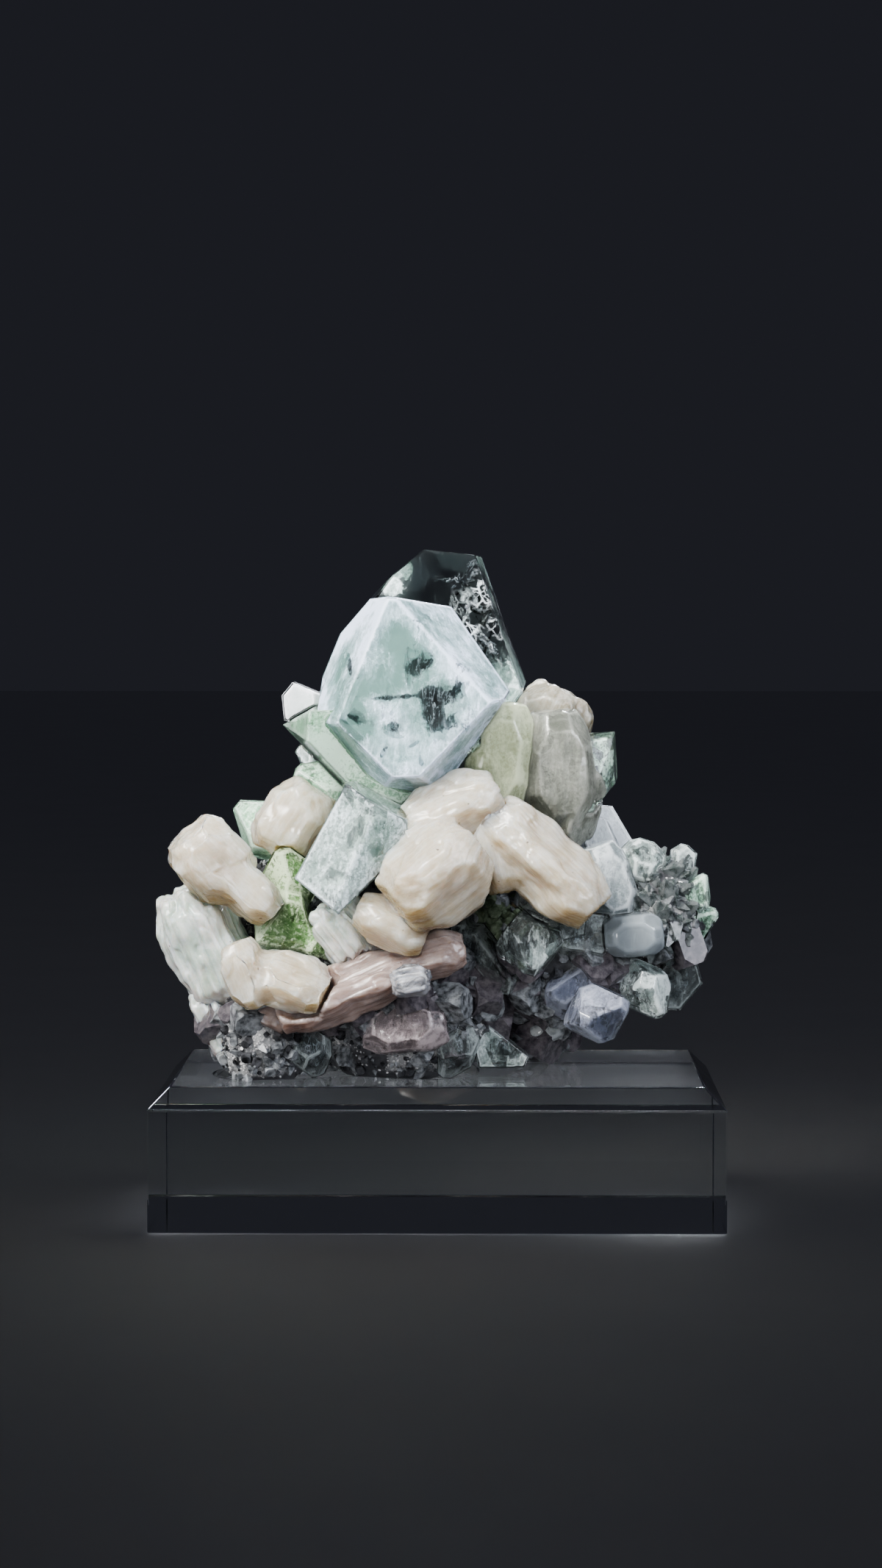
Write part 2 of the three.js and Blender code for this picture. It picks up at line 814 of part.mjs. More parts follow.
const basalt = {
  name: "basalt_matrix",
  finish: "basalt",
  forms: [
    lump([-37, -12, 39], [9.5, 13, 14]), // left foot
    lump([-9, -4, 44], [21, 17, 17.5]), // middle
    lump([24, 1, 54], [20, 13, 11]), // right
    lump([-5, 5, 71], [21, 17, 24]), // core
    lump([47, 1, 63.5], [9.5, 11, 11.5]), // far right
    lump([-32, 4, 60], [14, 12, 16]), // left
    lump([21, 6, 82], [13, 13, 17]), // upper right
    lump([22.3, 11, 40], [6.5, 7, 11]), // right foot
  ],
};

// ---------------------------------------------------------------- acrylic block

/** The pocket's outline, which follows the specimen's foot, drawn in by `inset`. */
function pocketOutline(inset) {
  const rim = [
    [-47.5, -6], [-46, -17], [-38, -19.5], [-28, -17.5], [-18, -14], [-8, -17.5], [0, -18.5], [6, -14.5],
    [8.4, -7], [5, 8], [-14, 12], [-36, 8],
  ].map(([x, y]) => new THREE.Vector3(x, y, 0));
  const middle = new THREE.Vector3(-20, -4, 0);
  rim.forEach((point) => point.addScaledVector(middle.clone().sub(point).normalize(), inset));
  const steps = 36;
  const curve = new THREE.CatmullRomCurve3(rim, true).getPoints(steps).slice(0, steps);
  return new THREE.Shape(curve.map(({ x, y }) => new THREE.Vector2(x, y)));
}

/** The block: a slab with a bevel round its top, and the pocket routed into it. */
function block(grow) {
  const { length, depth, height, bevel } = BLOCK;
  const corners = [];
  for (const [inset, z] of [[0, 0], [0, height - bevel], [bevel, height]]) {
    for (const [sx, sy] of [[1, 1], [1, -1], [-1, 1], [-1, -1]]) {
      const [halfX, halfY] = [length / 2 - inset + grow, depth / 2 - inset + grow];
      corners.push(new THREE.Vector3(sx * halfX, sy * halfY, z + grow));
    }
  }
  const deep = { depth: 2 * POCKET_DEPTH, bevelEnabled: false };
  const pocket = new THREE.ExtrudeGeometry(pocketOutline(2 * grow), deep);
  pocket.translate(0, 0, height - POCKET_DEPTH + grow);
  return solidOf(new ConvexGeometry(corners)).subtract(solidOf(pocket));
}

const acrylicBlock = { name: "acrylic_block", finish: "acrylic", forms: [block] };

// ---------------------------------------------------------------- assembly

const cluster = new THREE.Group();
const placed = []; // each piece so far, grown by the seam

/** Cuts a piece back from every piece before it and adds it to the cluster. */
function place({ name, finish: finishName, forms }) {
  let solid = joined(forms.map((form) => form(0)));
  for (const neighbour of placed) {
    if (near(solid, neighbour)) solid = solid.subtract(neighbour);
  }
  placed.push(joined(forms.map((form) => form(SEAM))));
  const mesh = new THREE.Mesh(geometryOf(largestBody(solid)), FINISHES[finishName]);
  mesh.name = name;
  cluster.add(mesh);
}

[acrylicBlock, basalt, ...crystals, ...sheaves, ...backCrystals].forEach(place);

export default cluster;
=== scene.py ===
"""Apophyllite and stilbite on drusy basalt, standing in a clear acrylic block.

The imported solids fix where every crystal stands. This script gives each one its real surface: bevelled
glassy apophyllite with milky growth zones and healed fractures sealed inside, layered stilbite sheaves,
rounded translucent columns, broken basalt under a crust of small crystals, and the flame-polished block.
"""

from __future__ import annotations

import logging
import math
from dataclasses import dataclass
from enum import Enum
from functools import partial
from typing import Any, Callable

import bmesh
import bpy
import numpy as np
from mathutils import Euler, Matrix, Vector
from mathutils.bvhtree import BVHTree
from mathutils.kdtree import KDTree


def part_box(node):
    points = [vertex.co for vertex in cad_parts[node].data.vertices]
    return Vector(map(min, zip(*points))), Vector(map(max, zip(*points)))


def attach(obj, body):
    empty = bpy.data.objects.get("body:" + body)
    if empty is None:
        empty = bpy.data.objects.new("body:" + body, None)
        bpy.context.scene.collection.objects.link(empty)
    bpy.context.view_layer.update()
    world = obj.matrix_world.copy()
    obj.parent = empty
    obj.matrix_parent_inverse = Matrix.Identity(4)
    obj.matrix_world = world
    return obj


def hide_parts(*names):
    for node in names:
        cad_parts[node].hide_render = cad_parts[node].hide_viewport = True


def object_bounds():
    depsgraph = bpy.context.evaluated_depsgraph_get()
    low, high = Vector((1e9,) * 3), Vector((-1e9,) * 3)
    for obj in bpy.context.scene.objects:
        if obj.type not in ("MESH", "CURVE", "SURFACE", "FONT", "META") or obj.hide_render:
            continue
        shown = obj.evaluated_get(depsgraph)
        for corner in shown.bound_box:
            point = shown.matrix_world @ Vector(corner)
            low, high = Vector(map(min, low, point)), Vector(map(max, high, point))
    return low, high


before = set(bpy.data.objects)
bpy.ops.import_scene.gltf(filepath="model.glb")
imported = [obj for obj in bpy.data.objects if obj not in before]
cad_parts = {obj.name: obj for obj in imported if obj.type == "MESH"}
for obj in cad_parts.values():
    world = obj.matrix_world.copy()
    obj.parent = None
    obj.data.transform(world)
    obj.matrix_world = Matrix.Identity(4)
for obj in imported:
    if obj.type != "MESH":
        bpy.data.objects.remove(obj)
CAD_BOX = [list(corner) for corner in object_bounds()]

LOG = logging.getLogger("cluster")
ROOT = "root"
MM = 0.001
PER_CM2 = 1e4
# Loose triangles are merged within this distance, and turn by less than this angle where a face is flat.
MERGE_MM = 0.002
FLAT_DEG = 0.6
# An arris turns by more than this angle, and is marked at this spacing.
MARK_DEG = 10.0
MARK_MM = 0.3
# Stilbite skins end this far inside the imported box.
INSIDE_MM = 0.1
# A way askew to every face. A ray along it counts the skins round a point, starting again past each skin.
SKEW_WAY = (0.31, 0.17, 0.93)
MOST_CROSSINGS = 24
PAST_SKIN = 1e-6
# Noise is read far from its origin, each octave in a place of its own, and starts at this strength.
FAR = 500
FAR_STEP = 31.7
OCTAVE_SHARE = 0.55

Triple = tuple[float, float, float]
Socket = bpy.types.NodeSocket
Adder = Callable[..., bpy.types.Node]

# Blender's names for what is used again and again.
NOISE = "ShaderNodeTexNoise"
CELLS = "ShaderNodeTexVoronoi"
MAPPING = "ShaderNodeMapping"
RANGE = "ShaderNodeMapRange"
MATH = "ShaderNodeMath"
MIX = "ShaderNodeMix"
ATTRIBUTE = "ShaderNodeAttribute"
BUMP = "ShaderNodeBump"
SURFACE = "ShaderNodeBsdfPrincipled"
OUTPUT = "ShaderNodeOutputMaterial"
TIMES = {"operation": "MULTIPLY"}
TIMES_PLUS = {"operation": "MULTIPLY_ADD"}
COLOURS = {"data_type": "RGBA"}


# ---------------------------------------------------------------- small tools


def linear(hex_colour: str) -> tuple[float, float, float, float]:
    """Turns an sRGB hex colour into linear RGBA.

    Args:
        hex_colour: six hex digits after a hash.

    Returns:
        Linear red, green, blue and an alpha of 1.
    """
    channels = [int(hex_colour[i : i + 2], 16) / 255 for i in (1, 3, 5)]
    turned = [c / 12.92 if c <= 0.04045 else ((c + 0.055) / 1.055) ** 2.4 for c in channels]
    return (turned[0], turned[1], turned[2], 1.0)


def per(size_mm: float) -> float:
    """Gives how often size_mm goes into a metre, which is a noise scale or an absorbing density."""
    return 1.0 / (size_mm * MM)


def add_node(
    tree: bpy.types.NodeTree, kind: str, inputs: dict[Any, Any] | None = None, **settings: Any
) -> bpy.types.Node:
    """Adds a node with its settings and links.

    Args:
        tree: the node tree that gets the node.
        kind: Blender's name for the node type.
        inputs: socket name or index to a value, to the socket that feeds it, or to a node, which feeds it
            from the first output that it shows.
        settings: properties of the node itself.

    Returns:
        The new node.
    """
    made = tree.nodes.new(kind)
    for key, value in settings.items():
        setattr(made, key, value)
    for key, value in (inputs or {}).items():
        if isinstance(value, bpy.types.Node):
            value = next(socket for socket in value.outputs if socket.enabled)
        if isinstance(value, bpy.types.NodeSocket):
            tree.links.new(value, made.inputs[key])
        else:
            made.inputs[key].default_value = value
    return made


def empty_material(name: str) -> tuple[bpy.types.Material, Adder, Socket]:
    """Makes a material with only the piece's own coordinates in it.

    Args:
        name: the material's name.

    Returns:
        The material, add_node for its tree, and the coordinates in metres.
    """
    made = bpy.data.materials.new(name)
    made.use_nodes = True
    made.node_tree.nodes.clear()
    add = partial(add_node, made.node_tree)
    return made, add, add("ShaderNodeTexCoord").outputs["Object"]


def cracks(add: Adder, place: bpy.types.Node, size_mm: float, width: float) -> bpy.types.Node:
    """Draws the joints between angular cells.

    Args:
        add: adds a node to the material.
        place: the coordinates.
        size_mm: size of a cell.
        width: width of a joint, as a share of a cell.

    Returns:
        1 on a joint and 0 away from it.
    """
    cell = add(CELLS, {0: place, "Scale": per(size_mm)}, feature="DISTANCE_TO_EDGE")
    return add(RANGE, {0: cell.outputs["Distance"], 1: width, 2: 0.0})


def threads(add: Adder, place: bpy.types.Node, size_mm: float, width: float) -> bpy.types.Node:
    """Draws winding threads where noise crosses its middle.

    Args:
        add: adds a node to the material.
        place: the coordinates.
        size_mm: how far apart the threads run.
        width: how wide they are, as a share of the noise's range.

    Returns:
        1 on a thread and 0 away from it.
    """
    winding = {0: place, "Scale": per(size_mm), "Detail": 6.0, "Roughness": 0.65, "Distortion": 0.8}
    level = add(MATH, {0: add(NOISE, winding), 1: 1.0, 2: -0.5}, **TIMES_PLUS)
    away = add(MATH, {0: level}, operation="ABSOLUTE")
    return add(RANGE, {0: away, 1: width, 2: 0.0})


def scramble(cell: np.ndarray, seed: int) -> np.ndarray:
    """Gives each lattice cell its own random number.

    Args:
        cell: N by 3 whole numbers.
        seed: which set of numbers.

    Returns:
        N values from 0 to 1.
    """
    where = cell.astype(np.uint64)
    mixed = where[:, 0] * np.uint64(73856093)
    mixed ^= where[:, 1] * np.uint64(19349663)
    mixed ^= where[:, 2] * np.uint64(83492791)
    mixed ^= np.uint64(seed * 2654435761 % 4294967296)
    for shift in (13, 16):
        mixed ^= mixed >> np.uint64(shift)
        mixed *= np.uint64(1274126177)
    mixed ^= mixed >> np.uint64(15)
    return (mixed % np.uint64(65536)).astype(float) / 65535


def eased_step(part: np.ndarray) -> np.ndarray:
    """Bends a straight rise from 0 to 1 so that it starts and ends level."""
    return part * part * (3 - 2 * part)


def lattice(points: np.ndarray, seed: int) -> np.ndarray:
    """Smooth value noise.

    Args:
        points: N by 3 positions, one lattice cell to a unit.
        seed: which field of noise.

    Returns:
        N values from -1 to 1.
    """
    cell = np.floor(points).astype(np.int64)
    part = eased_step(points - cell)
    total = np.zeros(len(points))
    for corner in range(8):
        step = np.array([corner & 1, corner >> 1 & 1, corner >> 2 & 1])
        weight = np.prod(np.where(step, part, 1 - part), axis=1)
        total += (scramble(cell + step, seed) * 2 - 1) * weight
    return total


def rough(points: np.ndarray, size_mm: float, seed: int, octaves: int = 3) -> np.ndarray:
    """Fractal noise at real scale.

    Args:
        points: N by 3 positions in metres.
        size_mm: size of the largest feature.
        seed: which field of noise.
        octaves: number of halvings of the feature size.

    Returns:
        N values of about -1 to 1.
    """
    total = np.zeros(len(points))
    for k in range(octaves):
        place = points * (per(size_mm) * 2**k) + FAR + FAR_STEP * k
        total += OCTAVE_SHARE * 0.5**k * lattice(place, seed + k)
    return total


def co_of(mesh: bpy.types.Mesh) -> np.ndarray:
    """Reads a mesh's vertex positions.

    Args:
        mesh: the mesh.

    Returns:
        N by 3 positions in metres.
    """
    flat = np.empty(len(mesh.vertices) * 3)
    mesh.vertices.foreach_get("co", flat)
    return flat.reshape(-1, 3)


def normals_of(mesh: bpy.types.Mesh) -> np.ndarray:
    """Reads a mesh's vertex normals.

    Args:
        mesh: the mesh.

    Returns:
        N by 3 unit vectors.
    """
    flat = np.empty(len(mesh.vertices) * 3, np.float32)
    mesh.vertex_normals.foreach_get("vector", flat)
    return flat.reshape(-1, 3).astype(float)


def set_co(mesh: bpy.types.Mesh, points: np.ndarray) -> None:
    """Writes vertex positions back to a mesh."""
    mesh.vertices.foreach_set("co", points.astype(np.float32).ravel())
    mesh.update()


def store(mesh: bpy.types.Mesh, name: str, values: np.ndarray) -> None:
    """Stores one number per vertex, for a material to read."""
    made = mesh.attributes.new(name, "FLOAT", "POINT")
    made.data.foreach_set("value", values.astype(np.float32))


def near(points: np.ndarray, spot: Triple, reach_mm: float) -> np.ndarray:
    """Gives each point's distance from a spot in millimetres, as a share of reach_mm."""
    return np.linalg.norm(points - np.array(spot) * MM, axis=1) / (reach_mm * MM)


def rise(values: np.ndarray, start: float, width: float) -> np.ndarray:
    """Goes from 0 at start to 1 at start + width, and stays there outside."""
    return np.clip((values - start) / width, 0, 1)


def push_out(mesh: bpy.types.Mesh, points: np.ndarray, push_mm: np.ndarray) -> None:
    """Moves each vertex from its point along its normal."""
    set_co(mesh, points + normals_of(mesh) * (push_mm * MM)[:, None])


def cad_bmesh(node: str) -> bmesh.types.BMesh:
    """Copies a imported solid's mesh and merges its loose triangles.

    Args:
        node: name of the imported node.

    Returns:
        A closed mesh whose flat faces are whole polygons.
    """
    made = bmesh.new()
    made.from_mesh(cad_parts[node].data)
    bmesh.ops.remove_doubles(made, verts=made.verts, dist=MERGE_MM * MM)
    bmesh.ops.dissolve_limit(made, angle_limit=math.radians(FLAT_DEG), verts=made.verts, edges=made.edges)
    return made


def bent_edges(shape: bmesh.types.BMesh, least_deg: float) -> list[bmesh.types.BMEdge]:
    """Gives the edges whose faces turn by more than least_deg."""
    return [edge for edge in shape.edges if edge.calc_face_angle(0.0) > math.radians(least_deg)]


def break_arrises(shape: bmesh.types.BMesh, least_deg: float, width_mm: float, segments: int) -> None:
    """Bevels a solid's arrises.

    Args:
        shape: the solid.
        least_deg: least turn of an edge that is an arris.
        width_mm: how far the bevel reaches from the arris.
        segments: faces across the bevel.
    """
    bmesh.ops.bevel(
        shape, geom=bent_edges(shape, least_deg), offset=width_mm * MM, segments=segments,
        affect="EDGES", profile=0.5, material=-1, clamp_overlap=True,
    )


def new_object(name: str, shape: bmesh.types.BMesh) -> bpy.types.Object:
    """Makes an object at the origin and frees the shape that it is made from.

    Args:
        name: the object's name.
        shape: its shape, in place.

    Returns:
        The object.
    """
    mesh = bpy.data.meshes.new(name)
    shape.to_mesh(mesh)
    shape.free()
    made = bpy.data.objects.new(name, mesh)
    bpy.context.scene.collection.objects.link(made)
    return made


def apply_modifiers(piece: bpy.types.Object) -> None:
    """Turns a piece's modifiers into its own mesh.

    Args:
        piece: the object, whose mesh is replaced.
    """
    bpy.context.view_layer.update()
    baked = piece.evaluated_get(bpy.context.evaluated_depsgraph_get())
    mesh = bpy.data.meshes.new_from_object(baked)
    old = piece.data
    piece.modifiers.clear()
    piece.data = mesh
    bpy.data.meshes.remove(old)
    mesh.name = piece.name


def remesh(piece: bpy.types.Object, voxel_mm: float, smooth: int) -> None:
    """Turns a piece into an even skin of small faces.

    Args:
        piece: the object, whose mesh is replaced.
        voxel_mm: size of a face.
        smooth: rounds of smoothing.
    """
    grid = piece.modifiers.new("skin", "REMESH")
    grid.mode = "VOXEL"
    grid.voxel_size = voxel_mm * MM
    if smooth:
        ease = piece.modifiers.new("ease", "SMOOTH")
        ease.factor = 0.5
        ease.iterations = smooth
    apply_modifiers(piece)


def hand_over(
    piece: bpy.types.Object, material: bpy.types.Material, slot: str, *nodes: str, smooth: bool = True
) -> None:
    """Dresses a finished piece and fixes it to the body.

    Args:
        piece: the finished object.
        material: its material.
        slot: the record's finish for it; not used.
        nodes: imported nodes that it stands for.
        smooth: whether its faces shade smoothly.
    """
    piece.data.materials.clear()
    piece.data.materials.append(material)
    piece.data.polygons.foreach_set("use_smooth", [smooth] * len(piece.data.polygons))
    if nodes:
        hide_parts(*nodes)
    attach(piece, ROOT)
    LOG.info("%s: %d faces", piece.name, len(piece.data.polygons))


# ------------------------------------------------------------------ finishes


@dataclass(frozen=True)
class Glass:
    """Clear crystal grown in a cavity: flat glassy faces with faint growth relief.

    The eye sees sharp reflections, a tint that deepens with thickness, and whatever is sealed inside.
    """

    name: str
    tint: str
    depth_mm: float
    roughness: float = 0.04
    relief_mm: float = 0.1
    ior: float = 1.535

    def build(self) -> bpy.types.Material:
        """Makes the material.

        Returns:
            Plain transmission over a plain absorbing volume, with growth relief as bump.
        """
        made, add, place = empty_material(self.name)
        upright = add(MAPPING, {0: place, "Scale": (1.0, 1.0, 0.25)})
        steps = add(NOISE, {0: upright, "Scale": per(2.2), "Detail": 5.0, "Roughness": 0.6})
        smear = add(NOISE, {0: place, "Scale": per(5.0), "Detail": 6.0, "Roughness": 0.6})
        dull = {0: smear, 1: 0.35, 2: 0.8, 3: self.roughness * 0.5, 4: self.roughness * 3}
        body = add("ShaderNodeVolumeAbsorption", {"Color": linear(self.tint), "Density": per(self.depth_mm)})
        surface = {
            "Base Color": (1.0, 1.0, 1.0, 1.0),
            "Roughness": add(RANGE, dull),
            "IOR": self.ior,
            "Transmission Weight": 1.0,
            "Normal": add(BUMP, {"Height": steps, "Strength": 0.5, "Distance": self.relief_mm * MM}),
        }
        add(OUTPUT, {"Surface": add(SURFACE, surface), "Volume": body})
        return made


@dataclass(frozen=True)
class Cloud:
    """Growth zone full of tiny fluid inclusions: white along the arrises and feathery between them.

    It is torn open where the crystal stayed clear, in angular shards with frayed borders.
    """

    name: str
    pale: str
    deep: str
    haze: float = 0.92
    thin: float = 0.5
    shard_mm: float = 3.0
    feather_mm: float = 0.7
    streak_mm: float = 2.4
    scatter_mm: float = 0.6
    grit: float = 0.25

    def build(self) -> bpy.types.Material:
        """Makes the material.

        Returns:
            A scattering white whose cover comes from the piece's own numbers and from noise.
        """
        made, add, place = empty_material(self.name)
        clear = add(ATTRIBUTE, attribute_name="clear").outputs["Fac"]
        rim = add(ATTRIBUTE, attribute_name="rim").outputs["Fac"]
        bank = add(NOISE, {0: place, "Scale": per(9.0), "Detail": 4.0, "Roughness": 0.55})
        slant = add(MAPPING, {0: place, "Rotation": (0.5, 0.6, 0.3), "Scale": (1.0, 1.0, 0.3)})
        streak = add(NOISE, {0: slant, "Scale": per(self.streak_mm), "Detail": 7.0, "Roughness": 0.7})
        barbs = {"Scale": per(self.feather_mm), "Detail": 6.0, "Roughness": 0.7, "Distortion": 0.6}
        feathers = [
            add(NOISE, {0: add(MAPPING, {0: place, "Rotation": turn, "Scale": (1.0, 1.0, 0.16)}), **barbs})
            for turn in ((0.2, -0.3, 0.5), (0.3, 0.8, 0.1))
        ]
        side = add(NOISE, {0: place, "Scale": per(6.0), "Detail": 3.0, "Roughness": 0.6})
        side = add(RANGE, {0: side, 1: 0.46, 2: 0.56})
        feather = add(MIX, {0: side, 2: feathers[0], 3: feathers[1]})
        slant = add(MAPPING, {0: place, "Rotation": (0.0, 0.9, 0.0), "Scale": (1.0, 1.0, 0.6)})
        wisp = {0: threads(add, slant, 4.5, 0.03), 1: add(RANGE, {0: streak, 1: 0.42, 2: 0.62})}
        wisp = add(MATH, wisp, **TIMES)
        grains = add(NOISE, {0: place, "Scale": per(0.8), "Detail": 3.0, "Roughness": 0.8})
        grains = add(MATH, {0: grains, 1: 1.0, 2: -0.5}, **TIMES_PLUS)
        white: Any = 0.0
        for part, share in (
            (bank, 1.3), (streak, 0.9), (feather, 0.5), (rim, 0.6), (wisp, 0.35), (grains, self.grit * 4.0)
        ):
            white = add(MATH, {0: part, 1: share, 2: white}, **TIMES_PLUS)
        white = add(RANGE, {0: white, 1: 1.15, 2: 1.8})
        frays = {"Scale": per(2.6), "Detail": 9.0, "Roughness": 0.7, "Distortion": 0.8}
        slant = add(MAPPING, {0: place, "Rotation": (0.3, 0.8, 0.2), "Scale": (1.0, 1.0, 0.5)})
        shard = add(CELLS, {0: slant, "Scale": per(self.shard_mm)}).outputs["Color"]
        shard = add("ShaderNodeSeparateColor", {0: shard})
        torn: Any = clear
        for part, share in ((add(NOISE, {0: place, **frays}), 1.4), (shard, 0.7), (feather, 1.3)):
            torn = add(MATH, {0: part, 1: share, 2: torn}, **TIMES_PLUS)
        thread = add(RANGE, {0: feather, 1: 0.54, 2: 0.66, 3: 0.08, 4: 0.55})
        thread = add(MATH, {0: thread, 1: add(RANGE, {0: clear, 1: 1.5, 2: 0.5})}, **TIMES)
        whole = {0: add(RANGE, {0: torn, 1: 2.25, 2: 2.03}), 1: thread}
        whole = add(MATH, whole, operation="MAXIMUM")
        haze = add(RANGE, {0: white, 3: self.haze * self.thin, 4: self.haze})
        surface = {
            "Base Color": add(MIX, {0: white, 6: linear(self.deep), 7: linear(self.pale)}, **COLOURS),
            "Roughness": 0.45,
            "Subsurface Weight": 0.2,
            "Subsurface Radius": (1.0, 1.0, 1.0),
            "Subsurface Scale": self.scatter_mm * MM,
            "Alpha": add(MATH, {0: whole, 1: haze}, **TIMES),
        }
        add(OUTPUT, {"Surface": add(SURFACE, surface)})
        return made


@dataclass(frozen=True)
class PaintedShadeHeart:
    """A dark body of painted shade, sealed in the unclouded middle of a crystal, grown slowly.

    Nothing scatters in a clear middle, so the eye sees it dark; this body paints that darkness, with faint
    smoke in it.
    """

    name: str = "clear_heart"
    deep: str = "#101416"
    smoke: str = "#A9B5BA"

    def build(self) -> bpy.types.Material:
        """Makes the material.

        Returns:
            A dark body of painted shade, with a few pale threads.
        """
        made, add, place = empty_material(self.name)
        slant = add(MAPPING, {0: place, "Rotation": (0.3, -0.5, 0.4), "Scale": (1.0, 1.0, 0.2)})
        smear = {0: slant, "Scale": per(1.1), "Detail": 8.0, "Roughness": 0.7, "Distortion": 0.8}
        smear = add(MATH, {0: add(NOISE, smear), 1: 0.7, 2: -0.3}, **TIMES_PLUS)
        slant = add(MAPPING, {0: place, "Rotation": (0.5, 0.4, 0.2), "Scale": (1.0, 1.0, 0.35)})
        hair = threads(add, slant, 1.6, 0.035)
        tuft = add(NOISE, {0: place, "Scale": per(3.0), "Detail": 5.0, "Roughness": 0.6})
        hair = {0: hair, 1: add(RANGE, {0: tuft, 1: 0.42, 2: 0.58}), 2: smear}
        share = add(RANGE, {0: add(MATH, hair, **TIMES_PLUS), 1: 0.05})
        tone = add(MIX, {0: share, 6: linear(self.deep), 7: linear(self.smoke)}, **COLOURS)
        add(OUTPUT, {"Surface": add(SURFACE, {"Base Color": tone, "Roughness": 0.3})})
        return made


@dataclass(frozen=True)
class Veil:
    """Healed fracture: a thin film of bubbles, seen as torn white wisps and a net of bright cracks."""

    name: str = "healed_fracture"
    bend_mm: float = 2.4

    def build(self) -> bpy.types.Material:
        """Makes the material.

        Returns:
            A white film that noise and cracks tear into wisps.
        """
        made, add, place = empty_material(self.name)
        sway = add(NOISE, {0: place, "Scale": per(2.5), "Detail": 3.0}).outputs["Color"]
        bent = add("ShaderNodeVectorMath", {0: sway, 1: (self.bend_mm * MM,) * 3, 2: place}, **TIMES_PLUS)
        line = {0: cracks(add, bent, 2.0, 0.07), 1: 0.5, 2: cracks(add, bent, 4.5, 0.05)}
        line = add(MATH, line, **TIMES_PLUS)
        film = {0: place, "Scale": per(1.2), "Detail": 8.0, "Roughness": 0.7, "Distortion": 1.0}
        film = add(RANGE, {0: add(NOISE, film), 1: 0.64, 2: 0.78, 4: 0.8})
        cover = add(MATH, {0: line, 1: 0.9, 2: film}, **TIMES_PLUS)
        patch = add(NOISE, {0: place, "Scale": per(4.0), "Detail": 4.0, "Roughness": 0.6})
        cover = add(MATH, {0: add(RANGE, {0: patch, 1: 0.5, 2: 0.6}), 1: cover}, **TIMES)
        fade = add(ATTRIBUTE, attribute_name="fade").outputs["Fac"]
        cover = add(MATH, {0: cover, 1: add(RANGE, {0: fade, 1: 0.95, 2: 0.55})}, **TIMES)
        surface = {
            "Base Color": linear("#EEF4F8"),
            "Roughness": 0.3,
            "Alpha": add(RANGE, {0: cover, 4: 0.9}),
        }
        add(OUTPUT, {"Surface": add(SURFACE, surface)})
        return made


@dataclass(frozen=True)
class Rock:
    """Basalt: fine dark grey groundmass, dull where broken, with paler zeolite dust in its pits."""

    name: str = "basalt"

    def build(self) -> bpy.types.Material:
        """Makes the material.

        Returns:
            A rough dark surface with grains and dust.
        """
        made, add, place = empty_material(self.name)
        grain = add(NOISE, {0: place, "Scale": per(0.9), "Detail": 8.0, "Roughness": 0.75})
        patch = add(NOISE, {0: place, "Scale": per(5.0), "Detail": 6.0, "Roughness": 0.6})
        patch = add(RANGE, {0: patch, 1: 0.35, 2: 0.65})
        dark = add(MIX, {0: patch, 6: linear("#3A3A3C"), 7: linear("#6C6D70")}, **COLOURS)
        snow = add(ATTRIBUTE, attribute_name="snow").outputs["Fac"]
        dust = add(MATH, {0: grain, 1: 1.0, 2: snow}, **TIMES_PLUS)
        dust = add(RANGE, {0: dust, 1: 0.62, 2: 0.9})
        surface = {
            "Base Color": add(MIX, {0: dust, 6: dark, 7: linear("#AAABAA")}, **COLOURS),
            "Roughness": 0.62,
            "Normal": add(BUMP, {"Height": grain, "Strength": 0.9, "Distance": 0.4 * MM}),
        }
        add(OUTPUT, {"Surface": add(SURFACE, surface)})
        return made


@dataclass(frozen=True)
class Grain:
    """Small crust crystal: glossy faces over a pale to dark body, each a little different."""

    name: str
    pale: str
    deep: str
    through: float = 0.3
    gloss: float = 0.15

    def build(self) -> bpy.types.Material:
        """Makes the material.

        Returns:
            A glossy body whose tone changes from crystal to crystal.
        """
        made, add, place = empty_material(self.name)
        vary = add(NOISE, {0: place, "Scale": per(1.6), "Detail": 3.0, "Roughness": 0.6})
        vary = add(RANGE, {0: vary, 1: 0.36, 2: 0.64})
        surface = {
            "Base Color": add(MIX, {0: vary, 6: linear(self.deep), 7: linear(self.pale)}, **COLOURS),
            "Roughness": self.gloss,
            "IOR": 1.53,
            "Transmission Weight": self.through,
            "Subsurface Weight": 0.3,
            "Subsurface Radius": (1.0, 1.0, 1.0),
            "Subsurface Scale": 0.6 * MM,
        }
        add(OUTPUT, {"Surface": add(SURFACE, surface)})
        return made


